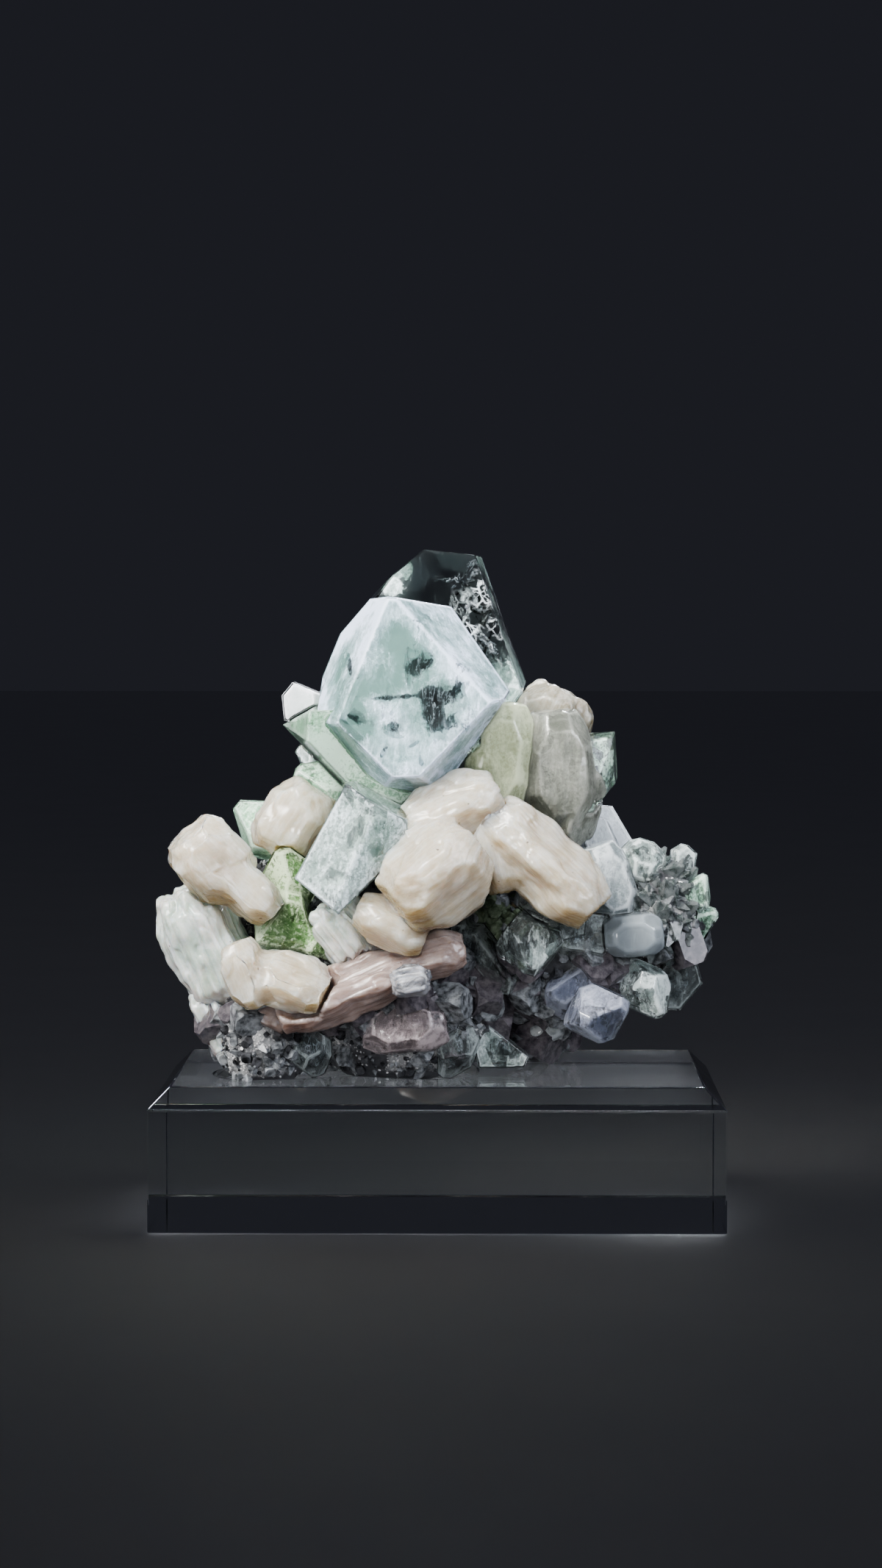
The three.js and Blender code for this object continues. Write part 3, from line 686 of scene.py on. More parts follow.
@dataclass(frozen=True)
class Stilbite:
    """Stilbite: fine plates stacked in a sheaf, waxy to pearly, warmer where the plates end, with painted
    shade on the undersides.
    """

    name: str
    face: str
    shade: str
    edge: str
    gloss: float = 0.27
    pearl: float = 0.6
    scatter_mm: float = 3.0
    fray: float = 0.35

    def build(self) -> bpy.types.Material:
        """Makes the material.

        Returns:
            A scattering body that reads the piece's own numbers for its plates, leaves, ends and painted
            underside shade.
        """
        made, add, place = empty_material(self.name)
        lobe = add(ATTRIBUTE, attribute_name="lobe").outputs["Vector"]
        edge = add(ATTRIBUTE, attribute_name="edge").outputs["Fac"]
        plate = add(ATTRIBUTE, attribute_name="plate").outputs["Fac"]
        along = add(MAPPING, {0: lobe, "Scale": (1.0, 1.6, 0.12)})
        grain = add(NOISE, {0: along, "Scale": per(0.8), "Detail": 5.0, "Roughness": 0.6})
        stack = add(MAPPING, {0: lobe, "Scale": (0.12, 1.0, 0.12)})
        leaves = add(NOISE, {0: stack, "Scale": per(0.45), "Detail": 3.0, "Roughness": 0.6})
        soft = {0: place, "Scale": per(4.0), "Detail": 8.0, "Roughness": 0.7, "Distortion": 0.6}
        along = add(MAPPING, {0: lobe, "Scale": (1.0, 1.0, 0.35)})
        frayed = {0: along, "Scale": per(3.0), "Detail": 8.0, "Roughness": 0.72, "Distortion": 0.4}
        glow = {0: place, "Scale": per(11.0), "Detail": 3.0, "Roughness": 0.6}
        # The edge number carries warm plate ends and painted shade on the undersides; both take the edge
        # colour.
        ends_and_underside_shade = {0: edge, 1: add(MATH, {0: leaves, 1: 0.9, 2: 0.45}, **TIMES_PLUS)}
        speck = {0: place, "Scale": per(1.3), "Detail": 2.0, "Roughness": 0.6}
        colour: Any = linear(self.face)
        # Layers of colour, each with what it follows, from where to where, its strength and its colour.
        for follows, low, high, most, tint in (
            (add(NOISE, soft), 0.4, 0.58, 1.0, self.shade),
            (add(NOISE, frayed), 0.52, 0.62, self.fray, "#F7F5F2"),
            (add(NOISE, glow), 0.52, 0.66, 0.35, self.edge),
            (plate, 0.2, 0.35, 0.85, self.face),
            (grain, 0.52, 0.76, 0.6 * self.fray, "#F4F2EF"),
            (add(MATH, ends_and_underside_shade, **TIMES), 0.05, 1.0, 1.0, self.edge),
            (add(NOISE, speck), 0.735, 0.76, 0.7, "#6B5A4C"),
        ):
            share = add(RANGE, {0: follows, 1: low, 2: high, 4: most})
            colour = add(MIX, {0: share, 6: colour, 7: linear(tint)}, **COLOURS)
        pits = add(NOISE, {0: place, "Scale": per(0.7), "Detail": 6.0, "Roughness": 0.7})
        height = add(MATH, {0: pits, 1: 0.5, 2: grain}, **TIMES_PLUS)
        steps = add(MATH, {0: leaves, 1: edge}, **TIMES)
        height = add(MATH, {0: steps, 1: 1.6, 2: height}, **TIMES_PLUS)
        dull = {0: grain, 1: 0.3, 2: 0.7, 3: self.gloss * 0.7, 4: self.gloss * 1.3}
        surface = {
            "Base Color": colour,
            "Roughness": add(RANGE, dull),
            "IOR": 1.5,
            "Subsurface Weight": 1.0,
            "Subsurface Radius": (1.0, 0.82, 0.64),
            "Subsurface Scale": self.scatter_mm * MM,
            "Coat Weight": self.pearl,
            "Coat Roughness": 0.24,
            "Normal": add(BUMP, {"Height": height, "Strength": 0.6, "Distance": 0.12 * MM}),
        }
        add(OUTPUT, {"Surface": add(SURFACE, surface)})
        return made


# --------------------------------------------------------------------- stage


class Flag(Enum):
    """What a light is flagged off: it leaves those pieces dark."""

    NOTHING = "nothing"
    FLOOR = "floor"
    FLOOR_AND_BLOCK = "floor_and_block"
    ALL_BUT_BLOCK = "all_but_block"


@dataclass(frozen=True)
class SoftBox:
    """One gridded studio soft box, or a strip where it has a height of its own.

    It is seen in reflections and through glass unless seen is False.
    """

    name: str
    at: Triple
    aim: Triple
    size: float
    watts: float
    spread: float
    colour: str = "#FFFFFF"
    flag: Flag = Flag.FLOOR_AND_BLOCK
    seen: bool = True
    high: float = 0.0

    def build(self) -> bpy.types.Object:
        """Hangs the light and turns it to its aim.

        Returns:
            The light's object.
        """
        light = bpy.data.lights.new(self.name, "AREA")
        light.shape = "RECTANGLE"
        light.size = self.size
        light.size_y = self.high or self.size
        light.energy = self.watts
        light.spread = math.radians(self.spread)
        light.color = linear(self.colour)[:3]
        lamp = bpy.data.objects.new(self.name, light)
        lamp.location = self.at
        lamp.rotation_euler = (Vector(self.at) - Vector(self.aim)).to_track_quat("Z", "Y").to_euler()
        lamp.visible_glossy = self.seen
        lamp.visible_transmission = self.seen
        bpy.context.scene.collection.objects.link(lamp)
        return lamp


@dataclass(frozen=True)
class Studio:
    """The pale floor, the soft boxes and the camera."""

    floor_half: float = 4.0
    floor_gap: float = 0.0003
    camera_at: Triple = (0.0099, -0.771, 0.1328)
    camera_turn: Triple = (86.92, 0.0, 0.704)
    lens: float = 82.4
    clip: tuple[float, float] = (0.01, 50.0)
    room_colour: str = "#292A30"
    lights: tuple[SoftBox, ...] = (
        SoftBox("key", (-0.34, -0.42, 0.62), (0.0, 0.0, 0.085), 0.3, 1.1, 60.0, "#FFFDFA"),
        SoftBox("fill", (0.56, -0.46, 0.42), (0.0, 0.0, 0.07), 0.4, 0.5, 60.0, "#EEF3FF"),
        SoftBox("side", (-0.68, -0.42, 0.16), (0.0, 0.0, 0.07), 0.45, 0.35, 60.0, "#F6F8FF"),
        SoftBox("low", (-0.2, -0.68, 0.07), (0.0, 0.0, 0.06), 0.12, 0.06, 60.0, "#FFFDFA"),
        SoftBox("rim", (0.14, 0.4, 0.5), (0.0, 0.0, 0.09), 0.1, 0.25, 50.0, "#F4F8FF", Flag.FLOOR),
        SoftBox("hollows", (-0.05, -0.75, 0.14), (0.0, 0.0, 0.06), 0.3, 0.12, 60.0, "#F4F6FF", seen=False),
        SoftBox(
            "front_strip", (0.0, -0.5, 0.8), (0.0, 0.0, 0.03), 1.2, 1.2, 90.0, "#EEF0FF",
            Flag.ALL_BUT_BLOCK, high=0.03,
        ),
        SoftBox("room", (0.0, 0.0, 1.3), (0.0, 0.0, 0.0), 0.7, 0.085, 120.0, flag=Flag.NOTHING, seen=False),
    )

    def camera(self) -> None:
        """Sets the camera at its height and tilt."""
        data = bpy.data.cameras.new("camera")
        data.lens = self.lens
        data.clip_start, data.clip_end = self.clip
        made = bpy.data.objects.new("camera", data)
        made.location = self.camera_at
        made.rotation_euler = Euler([math.radians(a) for a in self.camera_turn])
        bpy.context.scene.collection.objects.link(made)
        bpy.context.scene.camera = made

    def floor(self) -> bpy.types.Object:
        """Lays the pale floor just under the block.

        Returns:
            The floor.
        """
        shape = bmesh.new()
        bmesh.ops.create_grid(shape, x_segments=4, y_segments=4, size=self.floor_half)
        bmesh.ops.translate(shape, verts=shape.verts, vec=(0.0, 0.0, -self.floor_gap))
        piece = new_object("floor", shape)
        paint, add, place = empty_material("matt_painted_board")
        mottle = add(NOISE, {0: place, "Scale": per(40.0), "Detail": 4.0})
        tone = add(MIX, {0: mottle, 6: linear("#E4E4E3"), 7: linear("#ECECEA")}, **COLOURS)
        add(OUTPUT, {"Surface": add(SURFACE, {"Base Color": tone, "Roughness": 0.7})})
        piece.data.materials.append(paint)
        return piece

    def build(self, block: bpy.types.Object) -> None:
        """Makes the whole stage, with a dim neutral room round it.

        Flags keep the specimen lights off the pale floor and the block, so that both look dark round the
        crystals. Only the dim room light reaches everything.

        Args:
            block: the acrylic block.
        """
        self.camera()
        floor = self.floor()
        flags: dict[Flag, bpy.types.Collection] = {}
        for flag, pieces, state in (
            (Flag.FLOOR, (floor,), "EXCLUDE"),
            (Flag.FLOOR_AND_BLOCK, (floor, block), "EXCLUDE"),
            (Flag.ALL_BUT_BLOCK, (block,), "INCLUDE"),
        ):
            flags[flag] = bpy.data.collections.new(flag.value)
            for index, piece in enumerate(pieces):
                flags[flag].objects.link(piece)
                flags[flag].collection_objects[index].light_linking.link_state = state
        for light in self.lights:
            lamp = light.build()
            if light.flag in flags:
                lamp.light_linking.receiver_collection = flags[light.flag]
        world = bpy.data.worlds.new("room")
        world.use_nodes = True
        bpy.context.scene.world = world
        sky = world.node_tree.nodes["Background"]
        sky.inputs["Color"].default_value = linear(self.room_colour)
        sky.inputs["Strength"].default_value = 1.0


# -------------------------------------------------------------------- pieces


def lobe_frame(at: Triple, along: Triple, facing: Triple) -> Matrix:
    """Gives the placing of a lobe.

    Args:
        at: middle of the lobe in millimetres.
        along: the way it grew.
        facing: the way its plates face.

    Returns:
        A matrix from lobe space, in metres, to the object's space.
    """
    grown = Vector(along).normalized()
    front = Vector(facing)
    front = (front - front.dot(grown) * grown).normalized()
    placed = Matrix((front.cross(grown), front, grown)).transposed().to_4x4()
    placed.translation = Vector(at) * MM
    return placed


@dataclass(frozen=True)
class Lobe:
    """One sheaf of plates: its middle, growth direction, plate facing, and length, width and thickness."""

    at: Triple
    along: Triple
    facing: Triple
    size: Triple

    def local(self, points: np.ndarray) -> np.ndarray:
        """Gives points in this lobe's space, in metres."""
        inverse = np.array(lobe_frame(self.at, self.along, self.facing).inverted())
        return points @ inverse[:3, :3].T + inverse[:3, 3]

    def axes(self) -> np.ndarray:
        """Gives the lobe's across, facing and along directions as rows."""
        return np.array(lobe_frame(self.at, self.along, self.facing))[:3, :3].T


@dataclass(frozen=True)
class Sheaf:
    """A stilbite piece: one solid of one or more lobes.

    Its broad faces are smooth and waxy with low terraces. Its edges are scalloped, and show the leaves of
    the plates as fine steps.
    """

    node: str
    finish: str
    lobes: tuple[Lobe, ...]
    voxel_mm: float = 0.3
    ease: int = 14
    fill: int = 110
    proud_mm: float = 0.15
    swell_mm: float = 1.2
    swell_size_mm: float = 6.0
    scallop_mm: float = 0.28
    scallop_size_mm: float = 3.6
    leaf_mm: float = 1.0
    leaf_step_mm: float = 0.32
    leaf_from: float = 0.35
    leaf_slope: float = 0.3
    terrace_mm: float = 0.22
    terrace_size_mm: float = 6.0
    terrace_pull: Triple = (1.0, 0.3, 0.55)
    terrace_levels: tuple[float, ...] = (0.0, 0.4)
    terrace_slope: float = 0.03
    ridge_mm: float = 0.08
    ridge_size_mm: float = 1.7
    ridge_pull: float = 0.1
    outline_mm: float = 3.4
    slot: str = ""
    seed: int = 1

    def build(self, materials: dict[str, bpy.types.Material]) -> None:
        """Grows the plates on the solid and hands the piece over.

        Args:
            materials: built finishes by name.
        """
        piece = new_object(self.node + "_plates", cad_bmesh(self.node))
        remesh(piece, self.voxel_mm, self.ease)
        points = co_of(piece.data)
        normals = normals_of(piece.data)
        gap = np.sum((self.eased(piece) - points) * normals, axis=1)
        points += normals * np.clip(gap, 0, None)[:, None]
        mesh = piece.data
        set_co(mesh, points)
        normals = normals_of(mesh)
        spot, facing, half, owner = self.own_lobes(points)
        reach = np.clip(np.abs(spot[:, 2]) / half[:, 2], 0, 1)
        flat = np.abs(np.sum(normals * facing, axis=1))
        side = np.sqrt(np.clip(1 - flat**2, 0, 1))
        level = spot * np.array(self.terrace_pull) + 0.05 * owner[:, None]
        level = rough(level, self.terrace_size_mm, self.seed + 30, 3)
        terrace = sum(np.tanh((level - each) / self.terrace_slope) for each in self.terrace_levels)
        push = self.proud_mm + self.swell_mm * rough(points, self.swell_size_mm, self.seed, 2)
        scallops = 2 * np.abs(rough(points, self.scallop_size_mm, self.seed + 50, 2)) - 0.5
        push += side * self.scallop_mm * scallops
        push += side * self.leaf_step_mm * self.leaves(points, spot, owner)
        push += flat * self.terrace_mm * terrace
        fibres = rough(spot * np.array([1.0, 1.0, self.ridge_pull]), self.ridge_size_mm, self.seed + 12, 3)
        push += self.ridge_mm * (2 * np.abs(fibres) - 0.4)
        points += normals * (push * MM)[:, None]
        low, high = np.array(CAD_BOX)
        set_co(mesh, np.clip(points, low + INSIDE_MM * MM, high - INSIDE_MM * MM))
        ends = side * (0.35 + 0.65 * rise(reach, 0.4, 0.4))
        # Painted shade: faces that point down take the darker edge colour, as if in shadow.
        underside_shade = np.clip(0.25 - 0.9 * normals[:, 2], 0, 1)
        place = mesh.attributes.new("lobe", "FLOAT_VECTOR", "POINT")
        place.data.foreach_set("vector", spot.astype(np.float32).ravel())
        # The edge number: warm plate ends, and painted shade on the undersides.
        store(mesh, "edge", ends * (0.08 + 0.7 * underside_shade) + 0.5 * underside_shade**2)
        store(mesh, "plate", terrace * flat)
        hand_over(piece, materials[self.finish], self.slot or self.finish, self.node)

    def eased(self, piece: bpy.types.Object) -> np.ndarray:
        """Gives the piece's vertices after heavy smoothing, which stands proud where lobes meet.

        Args:
            piece: the piece, left as it is.

        Returns:
            N by 3 positions in metres.
        """
        ease = piece.modifiers.new("fill", "SMOOTH")
        ease.factor = 0.5
        ease.iterations = self.fill
        bpy.context.view_layer.update()
        baked = piece.evaluated_get(bpy.context.evaluated_depsgraph_get())
        points = co_of(baked.data)
        piece.modifiers.clear()
        return points

    def leaves(self, points: np.ndarray, spot: np.ndarray, owner: np.ndarray) -> np.ndarray:
        """Gives how far each leaf of the stack stands out, each with its own uneven outline.

        Args:
            points: N by 3 positions in metres.
            spot: the points in their lobe's space.
            owner: the number of each point's lobe.

        Returns:
            N values from -1 to 1, with a soft step from leaf to leaf.
        """
        bend = 0.8 * rough(points, self.swell_size_mm, self.seed + 20, 2)
        stack = spot[:, 1] * per(self.leaf_mm) + bend + 17 * owner
        number = np.floor(stack)
        part = eased_step(rise(stack - number, self.leaf_from, self.leaf_slope))
        where = spot * per(self.outline_mm)
        leaf = [np.column_stack([where[:, 0], where[:, 2], (number + step) * 5.7]) for step in (0, 1)]
        outline = [lattice(each + 300, self.seed + 40) for each in leaf]
        return outline[0] * (1 - part) + outline[1] * part

    def own_lobes(self, points: np.ndarray) -> tuple[np.ndarray, np.ndarray, np.ndarray, np.ndarray]:
        """Finds the lobe that each point belongs to.

        Args:
            points: N by 3 positions in metres.

        Returns:
            The points in their lobe's space, the way its plates face, its half sizes and its number.
        """
        best = np.full(len(points), np.inf)
        spot = np.zeros_like(points)
        facing = np.zeros_like(points)
        half = np.zeros_like(points)
        owner = np.zeros(len(points), int)
        for index, lobe in enumerate(self.lobes):
            local = lobe.local(points)
            reach = np.array([lobe.size[1], lobe.size[2], lobe.size[0]]) * MM / 2
            level = np.max(np.abs(local) / reach, axis=1)
            nearer = level < best
            best[nearer] = level[nearer]
            spot[nearer] = local[nearer]
            facing[nearer] = lobe.axes()[1]
            half[nearer] = reach
            owner[nearer] = index
        return spot, facing, half, owner


@dataclass(frozen=True)
class Patch:
    """A clear window or a white frost in a crystal's cloud, or the lack of one if the amount is negative.

    It is an upright ellipse seen from the front: its middle x and z, its half-width and half-height, all in
    millimetres, its lean in degrees, and how strong it is.
    """

    x: float
    z: float
    wide: float
    high: float
    lean: float = 0.0
    amount: float = 1.0

    def cover(self, points: np.ndarray) -> np.ndarray:
        """Gives the patch's strength at each point.

        Args:
            points: N by 3 positions in metres.

        Returns:
            N values, strongest in the middle.
        """
        turn = math.radians(self.lean)
        across = points[:, 0] / MM - self.x
        up = points[:, 2] / MM - self.z
        u = (across * math.cos(turn) + up * math.sin(turn)) / self.wide
        v = (up * math.cos(turn) - across * math.sin(turn)) / self.high
        return self.amount * np.exp(-((u * u + v * v) ** 1.5))


@dataclass(frozen=True)
class Zone:
    """A growth zone sealed in a crystal: its finish, and its size against the crystal's."""

    finish: str
    scale: float = 1.0


@dataclass(frozen=True)
class Crystal:
    """A glassy crystal with what is sealed inside it."""

    node: str
    glass: str
    zones: tuple[Zone, ...]
    clear: float = 0.0
    patches: tuple[Patch, ...] = ()
    frosts: tuple[Patch, ...] = ()
    clear_above: float | None = None
    fade_mm: float = 12.0
    veils: int = 0
    veil_mm: float = 5.0
    veil_box: tuple[Triple, Triple] | None = None
    bevel_mm: float = 0.2
    arris_deg: float = 12.0
    inset_mm: float = 0.2
    uneven_mm: float = 0.15
    # How white the cloud is along its borders and arrises, how much the faces differ, and how clarity drifts.
    border_mm: float = 0.9
    border_white: float = 0.3
    arris_mm: float = 0.45
    arris_white: float = 0.9
    face_white: float = 0.75
    drift: float = 0.4
    drift_mm: float = 9.0
    cloud_voxel_mm: float = 0.43
    inner_voxel_mm: float = 0.75
    # A worn or fluted crystal: rounds of smoothing, and the relief on it.
    rounding: int = 0
    proud_mm: float = 0.35
    swell_mm: float = 0.6
    swell_size_mm: float = 7.0
    flute_mm: float = 0.3
    flute_size_mm: float = 2.6
    flute_axis: Triple = (0.0, 0.0, 1.0)
    flute_pull: float = 0.88
    # A veil's flake: room that it needs, its thickness and curl against its radius, and how near it comes to
    # the faces.
    veil_tries: int = 60
    veil_room_mm: float = 1.2
    veil_flat: float = 0.012
    veil_curl: float = 0.14
    veil_wall: float = 0.93
    slot: str = ""
    seed: int = 5

    def rounded(self, name: str) -> bpy.types.Object:
        """Wears the solid's arrises away and flutes it along its length.

        Args:
            name: the new object's name.

        Returns:
            The object.
        """
        piece = new_object(name, cad_bmesh(self.node))
        remesh(piece, self.cloud_voxel_mm, self.rounding)
        points = co_of(piece.data)
        axis = np.array(Vector(self.flute_axis).normalized())
        flat = points - self.flute_pull * np.outer(points @ axis, axis)
        push = self.proud_mm + self.swell_mm * rough(points, self.swell_size_mm, self.seed, 2)
        push += self.flute_mm * rough(flat, self.flute_size_mm, self.seed + 1, 3)
        push_out(piece.data, points, push)
        return piece

    def glass_piece(self, material: bpy.types.Material) -> None:
        """Makes the glassy outside, worn round or with its arrises just broken.

        It casts no shadow, so that light reaches what is sealed in it.

        Args:
            material: the built glass finish.
        """
        if self.rounding:
            piece = self.rounded(self.node + "_glass")
        else:
            shape = cad_bmesh(self.node)
            break_arrises(shape, self.arris_deg, self.bevel_mm, 2)
            piece = new_object(self.node + "_glass", shape)
        hand_over(piece, material, self.slot or self.glass, self.node, smooth=bool(self.rounding))
        piece.visible_shadow = False

    def zone_body(self, name: str, voxel_mm: float) -> bpy.types.Object:
        """Makes a skin just under the faces, with its rim and its clear openings stored on it.

        Args:
            name: the new object's name.
            voxel_mm: size of a face.

        Returns:
            The object.
        """
        shape = cad_bmesh(self.node)
        arrises = edge_tree(shape)
        if self.rounding:
            shape.free()
            body = self.rounded(name)
        else:
            body = new_object(name, shape)
            remesh(body, voxel_mm, 1)
        points = co_of(body.data)
        away = np.array([arrises.find(p)[2] for p in points]) / MM
        facet = lattice(normals_of(body.data) * 2.5 + 40, self.seed + 6)
        border = self.border_mm * (1 + 0.5 * rough(points, 5.0, self.seed + 8, 3))
        rim = self.border_white * np.clip((border - away) / 0.5, 0, 1)
        rim = rim + self.arris_white * np.exp(-((away / self.arris_mm) ** 2)) + self.face_white * facet
        for frost in self.frosts:
            rim += frost.cover(points)
        store(body.data, "rim", rim)
        store(body.data, "clear", self.openings(points))
        push_out(body.data, points, -self.inset_mm - self.uneven_mm * (1 + rough(points, 4.0, self.seed)))
        return body

    def zone_pieces(self, materials: dict[str, bpy.types.Material]) -> None:
        """Seals the growth zones under the faces, the outermost just below them.

        Args:
            materials: built finishes by name.
        """
        voxel_mm = self.cloud_voxel_mm
        for zone in self.zones:
            piece = self.zone_body(f"{self.node}_{zone.finish}", voxel_mm)
            points = co_of(piece.data)
            middle = (points.min(axis=0) + points.max(axis=0)) / 2
            set_co(piece.data, middle + (points - middle) * zone.scale)
            hand_over(piece, materials[zone.finish], self.slot or self.glass)
            voxel_mm = self.inner_voxel_mm

    def openings(self, points: np.ndarray) -> np.ndarray:
        """Gives how clear the crystal is at each point.

        Args:
            points: N by 3 positions in metres.

        Returns:
            N values, 0 where it is cloudy and 1 where it is clear.
        """
        clear = self.clear + self.drift * rough(points, self.drift_mm, self.seed + 2, 2)
        for patch in self.patches:
            clear += patch.cover(points)
        if self.clear_above is not None:
            clear += np.clip((points[:, 2] / MM - self.clear_above) / self.fade_mm, -1.5, 1.5)
        return clear

    def veil_piece(self, material: bpy.types.Material) -> None:
        """Seals curved flakes, the healed fractures, inside the crystal.

        Args:
            material: the built veil finish.
        """
        shell = cad_bmesh(self.node)
        tree = BVHTree.FromBMesh(shell)
        shell.free()
        low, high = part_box(self.node)
        if self.veil_box:
            low = Vector(map(max, low, Vector(self.veil_box[0]) * MM))
            high = Vector(map(min, high, Vector(self.veil_box[1]) * MM))
        chance = np.random.default_rng(self.seed)
        shape = bmesh.new()
        made = tries = 0
        fade: list[float] = []
        while made < self.veils and tries < self.veils * self.veil_tries:
            tries += 1
            spot = Vector([chance.uniform(low[k], high[k]) for k in range(3)])
            if room_inside(tree, spot) < self.veil_room_mm * MM:
                continue
            reach = self.veil_mm * MM * chance.uniform(0.5, 1.0)
            made += 1
            flake = bmesh.ops.create_icosphere(shape, subdivisions=3, radius=1.0)["verts"]
            local = np.array([v.co for v in flake])
            fade += list(np.linalg.norm(local[:, :2], axis=1))
            bend = rough(local * 0.01 + made, 9.0, self.seed + made, 2)
            edge = 1 - 0.35 * np.abs(lattice(local * 2.3 + 50 + made, self.seed))
            turn = Euler(chance.uniform(0, math.tau, 3)).to_matrix()
            for vert, curve, ragged in zip(flake, bend, edge):
                up = vert.co.z * self.veil_flat + self.veil_curl * curve
                way = turn @ Vector((vert.co.x * ragged, vert.co.y * ragged * 0.7, up))
                wall = tree.ray_cast(spot, way)[3] or reach
                vert.co = spot + way.normalized() * min(way.length * reach, self.veil_wall * wall)
        if not made:
            shape.free()
            return
        piece = new_object(self.node + "_veils", shape)
        store(piece.data, "fade", np.array(fade))
        hand_over(piece, material, self.slot or self.glass)

    def build(self, materials: dict[str, bpy.types.Material]) -> None:
        """Makes the glass, the growth zones and the veils.

        Args:
            materials: built finishes by name.
        """
        self.glass_piece(materials[self.glass])
        self.zone_pieces(materials)
        if self.veils:
            self.veil_piece(materials["healed_fracture"])


def edge_tree(shape: bmesh.types.BMesh) -> KDTree:
    """Collects points along a crystal's arrises.

    Args:
        shape: the crystal.

    Returns:
        A tree of points MARK_MM apart.
    """
    marks = []
    for edge in bent_edges(shape, MARK_DEG):
        start, end = (v.co for v in edge.verts)
        count = max(2, int((end - start).length / (MARK_MM * MM)))
        marks += [start.lerp(end, k / count) for k in range(count + 1)]
    tree = KDTree(max(1, len(marks)))
    for index, mark in enumerate(marks):
        tree.insert(mark, index)
    tree.balance()
    return tree


def room_inside(tree: BVHTree, spot: Vector) -> float:
    """Measures how far a point is from a closed skin.

    Args:
        tree: the skin.
        spot: the point.

    Returns:
        The distance in metres, or -1 outside the skin.
    """
    way = Vector(SKEW_WAY).normalized()
    crossings = 0
    start = spot.copy()
    for _ in range(MOST_CROSSINGS):
        hit = tree.ray_cast(start, way)[0]
        if hit is None:
            break
        crossings += 1
        start = hit + way * PAST_SKIN
    if crossings % 2 == 0:
        return -1.0
    return tree.find_nearest(spot)[3]


@dataclass(frozen=True)
class AcrylicBlock:
    """The cast block: flame-polished, its arrises just broken."""

    node: str = "acrylic_block"
    arris_mm: float = 0.35
    arris_deg: float = 20.0
    round_mm2: float = 40.0

    def build(self, materials: dict[str, bpy.types.Material]) -> bpy.types.Object:
        """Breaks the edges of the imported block.

        Only faces smaller than round_mm2, those of the broken edges, shade smoothly.

        Args:
            materials: built finishes by name.

        Returns:
            The block.
        """
        shape = cad_bmesh(self.node)
        break_arrises(shape, self.arris_deg, self.arris_mm, 3)
        piece = new_object(self.node + "_polished", shape)
        hand_over(piece, materials["clear_acrylic"], "clear_acrylic", self.node, smooth=False)
        for face in piece.data.polygons:
            face.use_smooth = face.area < self.round_mm2 * MM * MM
        return piece


class Seed(Enum):
    """The habits of the small crystals in the crust."""

    BLOCK = "block"
    POINT = "point"
    CRUMB = "crumb"

    def template(self) -> bpy.types.Object:
        """Makes one small crystal, one unit across, as a hidden object.

        Returns:
            The object.
        """
        shape = bmesh.new()
        if self is Seed.BLOCK:
            bmesh.ops.create_cube(shape, size=1.0)
            bmesh.ops.scale(shape, verts=shape.verts, vec=(0.9, 0.75, 1.15))
            bmesh.ops.bevel(
                shape, geom=shape.verts, offset=0.24, segments=1,
                affect="VERTICES", profile=0.5, material=-1,
            )
        elif self is Seed.POINT:
            bmesh.ops.create_cone(shape, cap_ends=True, segments=4, radius1=0.42, radius2=0.08, depth=0.7)
            bmesh.ops.translate(shape, verts=shape.verts, vec=(0.0, 0.0, 0.35))
            base = [f for f in shape.faces if f.normal.z < -0.9]
            grown = bmesh.ops.extrude_face_region(shape, geom=base)["geom"]
            foot = [v for v in grown if isinstance(v, bmesh.types.BMVert)]
            bmesh.ops.translate(shape, verts=foot, vec=(0.0, 0.0, -0.5))
            bmesh.ops.delete(shape, geom=base, context="FACES_ONLY")
        else:
            bmesh.ops.create_icosphere(shape, subdivisions=1, radius=0.5)
            bmesh.ops.scale(shape, verts=shape.verts, vec=(1.0, 0.7, 0.8))
        bmesh.ops.recalc_face_normals(shape, faces=shape.faces)
        # An extrusion makes its faces in a different order each run, so they are put in one order.
        shape.faces.sort(key=lambda face: face.calc_center_median().dot(Vector(SKEW_WAY)))
        made = new_object("seed_" + self.value, shape)
        made.hide_render = True
        made.hide_viewport = True
        return made


